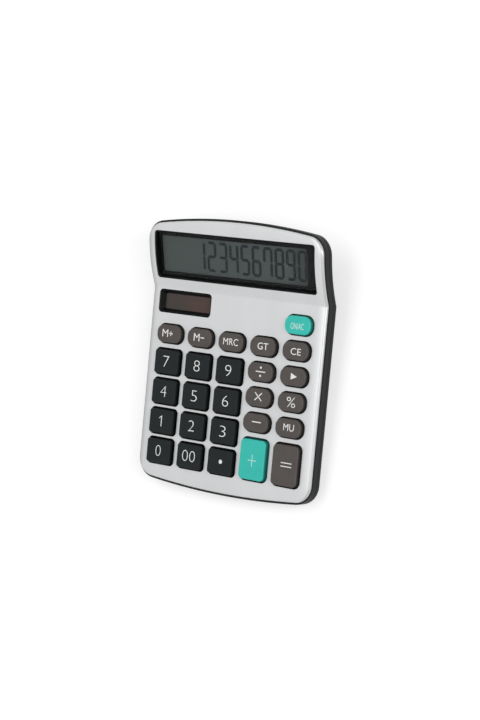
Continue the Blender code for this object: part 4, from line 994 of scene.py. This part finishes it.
def digitBars(shape, middle, digit, material, z):
    form = segmentForm
    halfX, halfY = form["width"] / 2, form["height"] / 2
    places = {
        "a": (0, halfY, 0), "d": (0, -halfY, 0), "g": (0, 0, 0), "b": (halfX, halfY / 2, 1),
        "c": (halfX, -halfY / 2, 1), "f": (-halfX, halfY / 2, 1), "e": (-halfX, -halfY / 2, 1),
    }
    for key in segmentBars[int(digit)]:
        x, y, upright = places[key]
        long = (halfY if upright else form["width"]) / 2 - form["gap"]
        thick = form["stroke"] / 2
        outline = (
            (-long, 0), (-long + thick, -thick), (long - thick, -thick), (long, 0), (long - thick, thick),
            (-long + thick, thick),
        )
        points = []
        for u, v in outline:
            px, py = (x + v, y + u) if upright else (x + u, y + v)
            points.append(shape.verts.new((px + middle[0] + form["slant"] * py, py + middle[1], z)))
        patch = shape.faces.new(points[::-1] if upright else points)
        patch.material_index = material


def makeDisplay():
    form = displayForm
    ledgeTop = form["funnelDepth"] + form["window"] + seat
    ledgeBottom = ledgeTop + form["ledge"]
    glassTop = ledgeBottom + seat
    glassBottom = glassTop + form["glass"]
    inner = form["border"] + seat
    gap, flange, inset = form["clearance"], -form["flange"], form["funnelInset"]
    rings = [
        archedRing(flange, flangeTop - form["flangeThickness"], form["flangeCorner"]),
        archedRing(flange, flangeTop, form["flangeCorner"]), archedRing(gap, flangeTop),
        archedRing(gap, -form["recess"]), archedRing(gap + form["edge"], -form["recess"]),
        flatRing(inset, form["funnelDepth"]), flatRing(inset, ledgeTop), viewRing(0, ledgeTop),
        viewRing(0, ledgeBottom), viewRing(inner, ledgeBottom), viewRing(inner, glassBottom),
        viewRing(inner + form["skirt"], glassBottom, form["skirtCorner"]),
    ]
    bezel = softened(lofted("displayFunnel", rings, keyboard, closed=True), form["softEdge"])
    fitted(bezel, "bezelPlastic", "bezel_plastic", "display_bezel")
    paneTop = form["funnelDepth"]
    rings = [flatRing(inset + seat, depth) for depth in (paneTop, paneTop + form["window"])]
    window = softened(lofted("displayPane", rings, keyboard), form["paneEdge"])
    fitted(window, "clearPane", "clear_plastic", "display_window")
    rings = [viewRing(form["border"], depth) for depth in (glassTop, glassBottom)]
    glass = softened(lofted("displayPanel", rings, keyboard), form["softEdge"])
    fitted(glass, "displayGlass", "display_glass", "lcd_panel")
    shape, form = bmesh.new(), segmentForm
    shadeX, shadeY = form["shadow"]
    for i, digit in enumerate(form["row"]):
        x = form["lastX"] - (len(form["row"]) - 1 - i) * form["pitch"]
        digitBars(shape, (x + shadeX, form["up"] + shadeY), digit, 1, form["lift"] / 2)
        digitBars(shape, (x, form["up"]), digit, 0, form["lift"])
    bmesh.ops.translate(shape, vec=(0, 0, -glassTop), verts=shape.verts)
    digits = newObject("displayDigits", meshOf("displayDigits", shape), keyboard @ display)
    fitted(digits, "segmentInk segmentShade", "display_glass", angle=0)


makeDisplay()


# Solar cell in its deep black frame

def solarRing(inset, height):
    corner = max(solarForm["corner"] - inset, solarForm["corner"] / 2)
    points = roundedRing(solarHalf[0] - inset, solarHalf[1] - inset, corner, 8)
    return [(*point, height) for point in points]


def makeSolarCell():
    form = solarForm
    gap, recess = displayForm["clearance"], -displayForm["recess"]
    aperture = gap + form["frame"]
    cellTop = -form["depth"] - seat
    cellBottom = cellTop - form["cell"]
    pocket = aperture - form["lap"] - seat
    rows = (
        (-form["flange"], cellBottom), (-form["flange"], flangeTop), (gap, flangeTop), (gap, recess),
        (gap + displayForm["edge"], recess), (aperture, -form["depth"]), (pocket, -form["depth"]),
        (pocket, cellBottom),
    )
    place = onKeyboard(solarMiddle[0], kinkY + solarMiddle[1])
    frameRing = lofted("solarFrame", [solarRing(*row) for row in rows], place, closed=True)
    softened(frameRing, displayForm["softEdge"])
    fitted(frameRing, "bezelPlastic", "bezel_plastic", "solar_bezel")
    rings = [solarRing(aperture - form["lap"], height) for height in (cellTop, cellBottom)]
    cell = softened(lofted("solarPanel", rings, place), displayForm["paneEdge"])
    solarFilm(solarMiddle[0], solarHalf[0] - aperture, form["cells"])
    fitted(cell, "solarFilm", "solar_cell", "solar_cell")


makeSolarCell()
print("display and solar cell made")


domeForm = dict(
    radius=0.003, topShare=0.7, height=0.0018, edge=0.0005, web=0.00035, sunk=0.0002, margin=0.0007,
    steps=28, folded=0.15,
)


def makeDomeSheet():
    form = domeForm
    top = sheetHigh.z - form["height"]
    middle, half = (sheetLow + sheetHigh) / 2, (sheetHigh - sheetLow) / 2
    ring = roundedRing(half.x, half.y, form["margin"], 4, middle.xy)
    base = lofted("dome_base", levels(ring, sheetLow.z, top), keyboard)
    fitted(base, "domeRubber", "dome_rubber", "dome_sheet", angle=50)
    capRadius = form["radius"] * form["topShare"]
    webRadius = form["radius"] + form["web"]
    profile = [
        (webRadius, top - form["sunk"]), (webRadius, top), (form["radius"], top + form["web"]),
        (capRadius + form["edge"] * 0.5, sheetHigh.z - form["edge"]),
        (capRadius, sheetHigh.z - form["edge"] * 0.25), (capRadius - form["edge"], sheetHigh.z),
    ]
    for name in keyPrint:
        place = keyShape(name)[0]
        matrix = onKeyboard(*place)
        dome = newObject(name + "_dome", turnedMesh("dome", profile, form["steps"]), matrix)
        fitted(dome, "domeRubber", "dome_rubber", "dome_sheet", angle=50)
        foot = keyboard @ Vector((*place, top))  # the point on the sheet's top under its key
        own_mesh(dome)


screwForm = dict(
    crossWidth=0.28, crossLength=1.25, crossDepth=0.62, thread=0.00012, pitch=0.00055, dome=0.25,
)


def makeScrew(node, headRadius, headHeight, shank):  # a pan head with a cross recess and a thread
    low, high = measured(node, fromWorld)
    middle = (low + high) / 2
    length, form = high.z - low.z - headHeight, screwForm
    profile = [(headRadius * 0.35, -headHeight), (headRadius * 0.8, -headHeight * (1 - form["dome"] / 2))]
    profile += [(headRadius, -headHeight * (1 - form["dome"] * 1.6)), (headRadius, 0), (shank, 0)]
    turns = int((length - shank * 2) / form["pitch"])
    for i in range(turns):
        z = shank * 0.5 + i * form["pitch"]
        profile += [(shank - form["thread"], z + form["pitch"] * 0.4), (shank, z + form["pitch"] * 0.8)]
    profile += [(shank - form["thread"], length - shank), (shank * 0.2, length)]
    place = onKeyboard(middle.x, middle.y, low.z + headHeight)
    screw = newObject(node + "_turned", turnedMesh(node, profile, 32), place)
    wide, long = headRadius * form["crossWidth"] / 2, headRadius * form["crossLength"] / 2
    floor = -headHeight * (1 - form["crossDepth"])
    tools = []
    for x, y in ((wide, long), (long, wide)):
        tools.append(block((-x, -y, -headHeight - overrun), (x, y, floor), place))
    shaped(screw, difference=tools)
    fitted(screw, "screwSteel", "screw_steel", node, angle=35)


footForm = dict(edge=0.0004, steps=6)


def makeFoot(node):
    low, high = measured(node)
    middle, radius, edge = (low + high) / 2, (high.x - low.x) / 2, footForm["edge"]
    profile = [(radius - edge * 2.5, low.z + edge * 0.25)]
    for step in range(footForm["steps"] + 1):
        turn = math.pi / 2 * step / footForm["steps"]
        profile.append((radius - edge * (1 - math.sin(turn)), low.z + edge * (1 - math.cos(turn))))
    profile += [(radius, high.z - edge * 0.3), (radius - edge * 0.3, high.z)]
    mesh = turnedMesh(node, profile, 48)
    foot = newObject(node + "_pad", mesh, Matrix.Translation((middle.x, middle.y, 0)))
    fitted(foot, "footRubber", "foot_rubber", node, angle=50)


cellForm = dict(
    # radius and height of the profile over either end, and the rings of the sleeve
    front=(
        (0.0011, 0.0013), (0.0023, 0.0013), (0.0027, 0.0009), (0.0027, 0.0001), (0.00595, -0.0001),
        (0.00605, 0), (0.00665, 0), (0.00715, -0.0005),
    ),
    rear=(
        (0.00715, 0.0005), (0.00665, 0), (0.00615, 0), (0.00595, 0.0002), (0.00575, 0.0001),
        (0.001, 0.0001),
    ),
    sleeve=(4, 11), steps=56,
)


def makeBattery():
    form = cellForm
    half = batteryForm["length"] / 2
    profile = [(radius, half + height) for radius, height in form["front"]]
    profile += [(radius, height - half) for radius, height in form["rear"]]
    mesh = turnedMesh("dryCell", profile, form["steps"])
    first, last = form["sleeve"]
    for polygon in mesh.polygons:
        ring = (polygon.index - 2) // form["steps"]  # the two end caps come first
        polygon.material_index = 1 if polygon.index < 2 or ring < first or ring >= last else 0
    lying = Matrix.Translation((bayShift, batteryY, batteryZ)) @ Matrix.Rotation(math.pi / 2, 4, "Y")
    cell = newObject("dryCell", mesh, lying)
    fitted(cell, "batterySleeve contactMetal", "battery_case", "battery", angle=30)


springForm = dict(wire=0.0007, turns=3, largeRadius=0.0045, smallRadius=0.0026, perTurn=40)


def makeSpring():
    form = springForm
    low, high = measured("battery_spring")
    start, end = low.x + form["wire"] / 2, high.x - form["wire"] / 2
    curve = bpy.data.curves.new("contactSpring", "CURVE")
    curve.dimensions = "3D"
    curve.bevel_depth = form["wire"] / 2 - 0.00001
    curve.bevel_resolution = 4
    curve.use_fill_caps = True
    spline = curve.splines.new("POLY")
    count = form["turns"] * form["perTurn"] + 1
    spline.points.add(count - 1)
    for i in range(count):
        share = i / (count - 1)
        turn = 2 * math.pi * form["turns"] * share
        radius = form["largeRadius"] + share * (form["smallRadius"] - form["largeRadius"])
        y, z = batteryY + radius * math.cos(turn), batteryZ + radius * math.sin(turn)
        spline.points[i].co = (start + share * (end - start), y, z, 1)
    spring = newObject("contactSpring", curve)
    fitted(spring, "contactMetal", "contact_metal", "battery_spring", angle=0)


makeDomeSheet()
refined("circuit_board", "boardLaminate", "board_laminate", 0.0001)
refined("processor_chip", "chipEpoxy", "chip_epoxy", 0.0003, 3, 20)
refined("display_ribbon", "ribbonFilm", "ribbon_film", 0.00005)
refined("battery_contact", "contactMetal", "contact_metal", 0.0001)
makeBattery()
makeSpring()
for i in range(1, 5):
    makeFoot(f"foot_{i}")
    makeScrew(f"case_screw_{i}", *(housingForm[key] for key in ("headRadius", "headHeight", "shank")))
smallScrew = [housingForm[key] for key in ("smallHeadRadius", "smallHeadHeight", "smallShank")]
for i in range(1, 7):
    makeScrew(f"board_screw_{i}", *smallScrew)
print("inner pieces made")


studio = dict(
    floorSize=6, floorColour=(0.68, 0.68, 0.68), floorGlow=0.52, ambient=0.42,
    lights=(
        # name, place, width and height in metres, power in watts
        ("rightSoftbox", (0.9, 0.12, 0.66), (0.4, 0.7), 5.0),
        ("topSoftbox", (-0.08, 0.25, 1.38), (0.7, 1.1), 4.2),
    ),
)
view = dict(
    place=(0.62154, 0.10332, 0.84588), right=(0.80127, 0.0921, -0.59117),
    ahead=(-0.58718, -0.06858, -0.80655), lens=97.5, sensor=36,
)


def seenDirectly(owner):  # 1 for rays from the camera, or by way of a reflection or a clear pane
    camera = addNode(owner, "LightPath", output="Is Camera Ray")
    glossy, clear = (camera.node.outputs[name] for name in ("Is Glossy Ray", "Is Transmission Ray"))
    pair = addNode(owner, "Math", camera, glossy, operation="MAXIMUM")
    return addNode(owner, "Math", pair, clear, operation="MAXIMUM")


def makeFloor():
    shape = bmesh.new()
    bmesh.ops.create_grid(shape, x_segments=1, y_segments=1, size=studio["floorSize"])
    floor = newObject("floor", meshOf("floor", shape))
    material = baseMaterial("paleFloor", studio["floorColour"], 0.9)
    speckle = noise(material, 30, 4)
    addBump(material, speckle, 0.00005, 0.3)
    addGloss(material, speckle, 0.85, 0.95)
    setShader(material, "Emission Color", (1, 1, 1, 1))
    glow = addNode(material, "Math", seenDirectly(material), studio["floorGlow"], operation="MULTIPLY")
    setShader(material, "Emission Strength", glow)
    floor.data.materials.append(material)


def makeWorld():
    world = bpy.data.worlds.new("studio")
    world.use_nodes = True
    background = world.node_tree.nodes["Background"].inputs
    feed(world, background["Color"], (1, 1, 1, 1))
    feed(world, background["Strength"], ranged(world, seenDirectly(world), studio["ambient"], 1))
    bpy.context.scene.world = world


def areaLight(name, place, size, power, target=(0, 0, 0.01)):
    light = bpy.data.lights.new(name, "AREA")
    light.shape = "RECTANGLE"
    light.size, light.size_y = size
    light.energy = power
    thing = newObject(name, light)
    thing.location = place
    thing.rotation_euler = (Vector(target) - Vector(place)).to_track_quat("-Z", "Y").to_euler()


def makeCamera():  # the view is set out in the keyboard's frame
    ahead = Vector(view["ahead"]).normalized()
    right = Vector(view["right"])
    right = (right - right.dot(ahead) * ahead).normalized()
    turn = Matrix((right, right.cross(ahead), -ahead)).transposed().to_4x4()
    camera = bpy.data.cameras.new("camera")
    camera.lens = view["lens"]
    camera.sensor_width = view["sensor"]
    camera.clip_start = 0.01
    thing = newObject("camera", camera)
    thing.matrix_world = keyboard @ Matrix.Translation(view["place"]) @ turn
    bpy.context.scene.camera = thing


makeFloor()
makeWorld()
for name, place, size, power in studio["lights"]:
    areaLight(name, place, size, power)
bpy.context.scene.view_settings.view_transform = "Standard"
makeCamera()
print("studio ready")
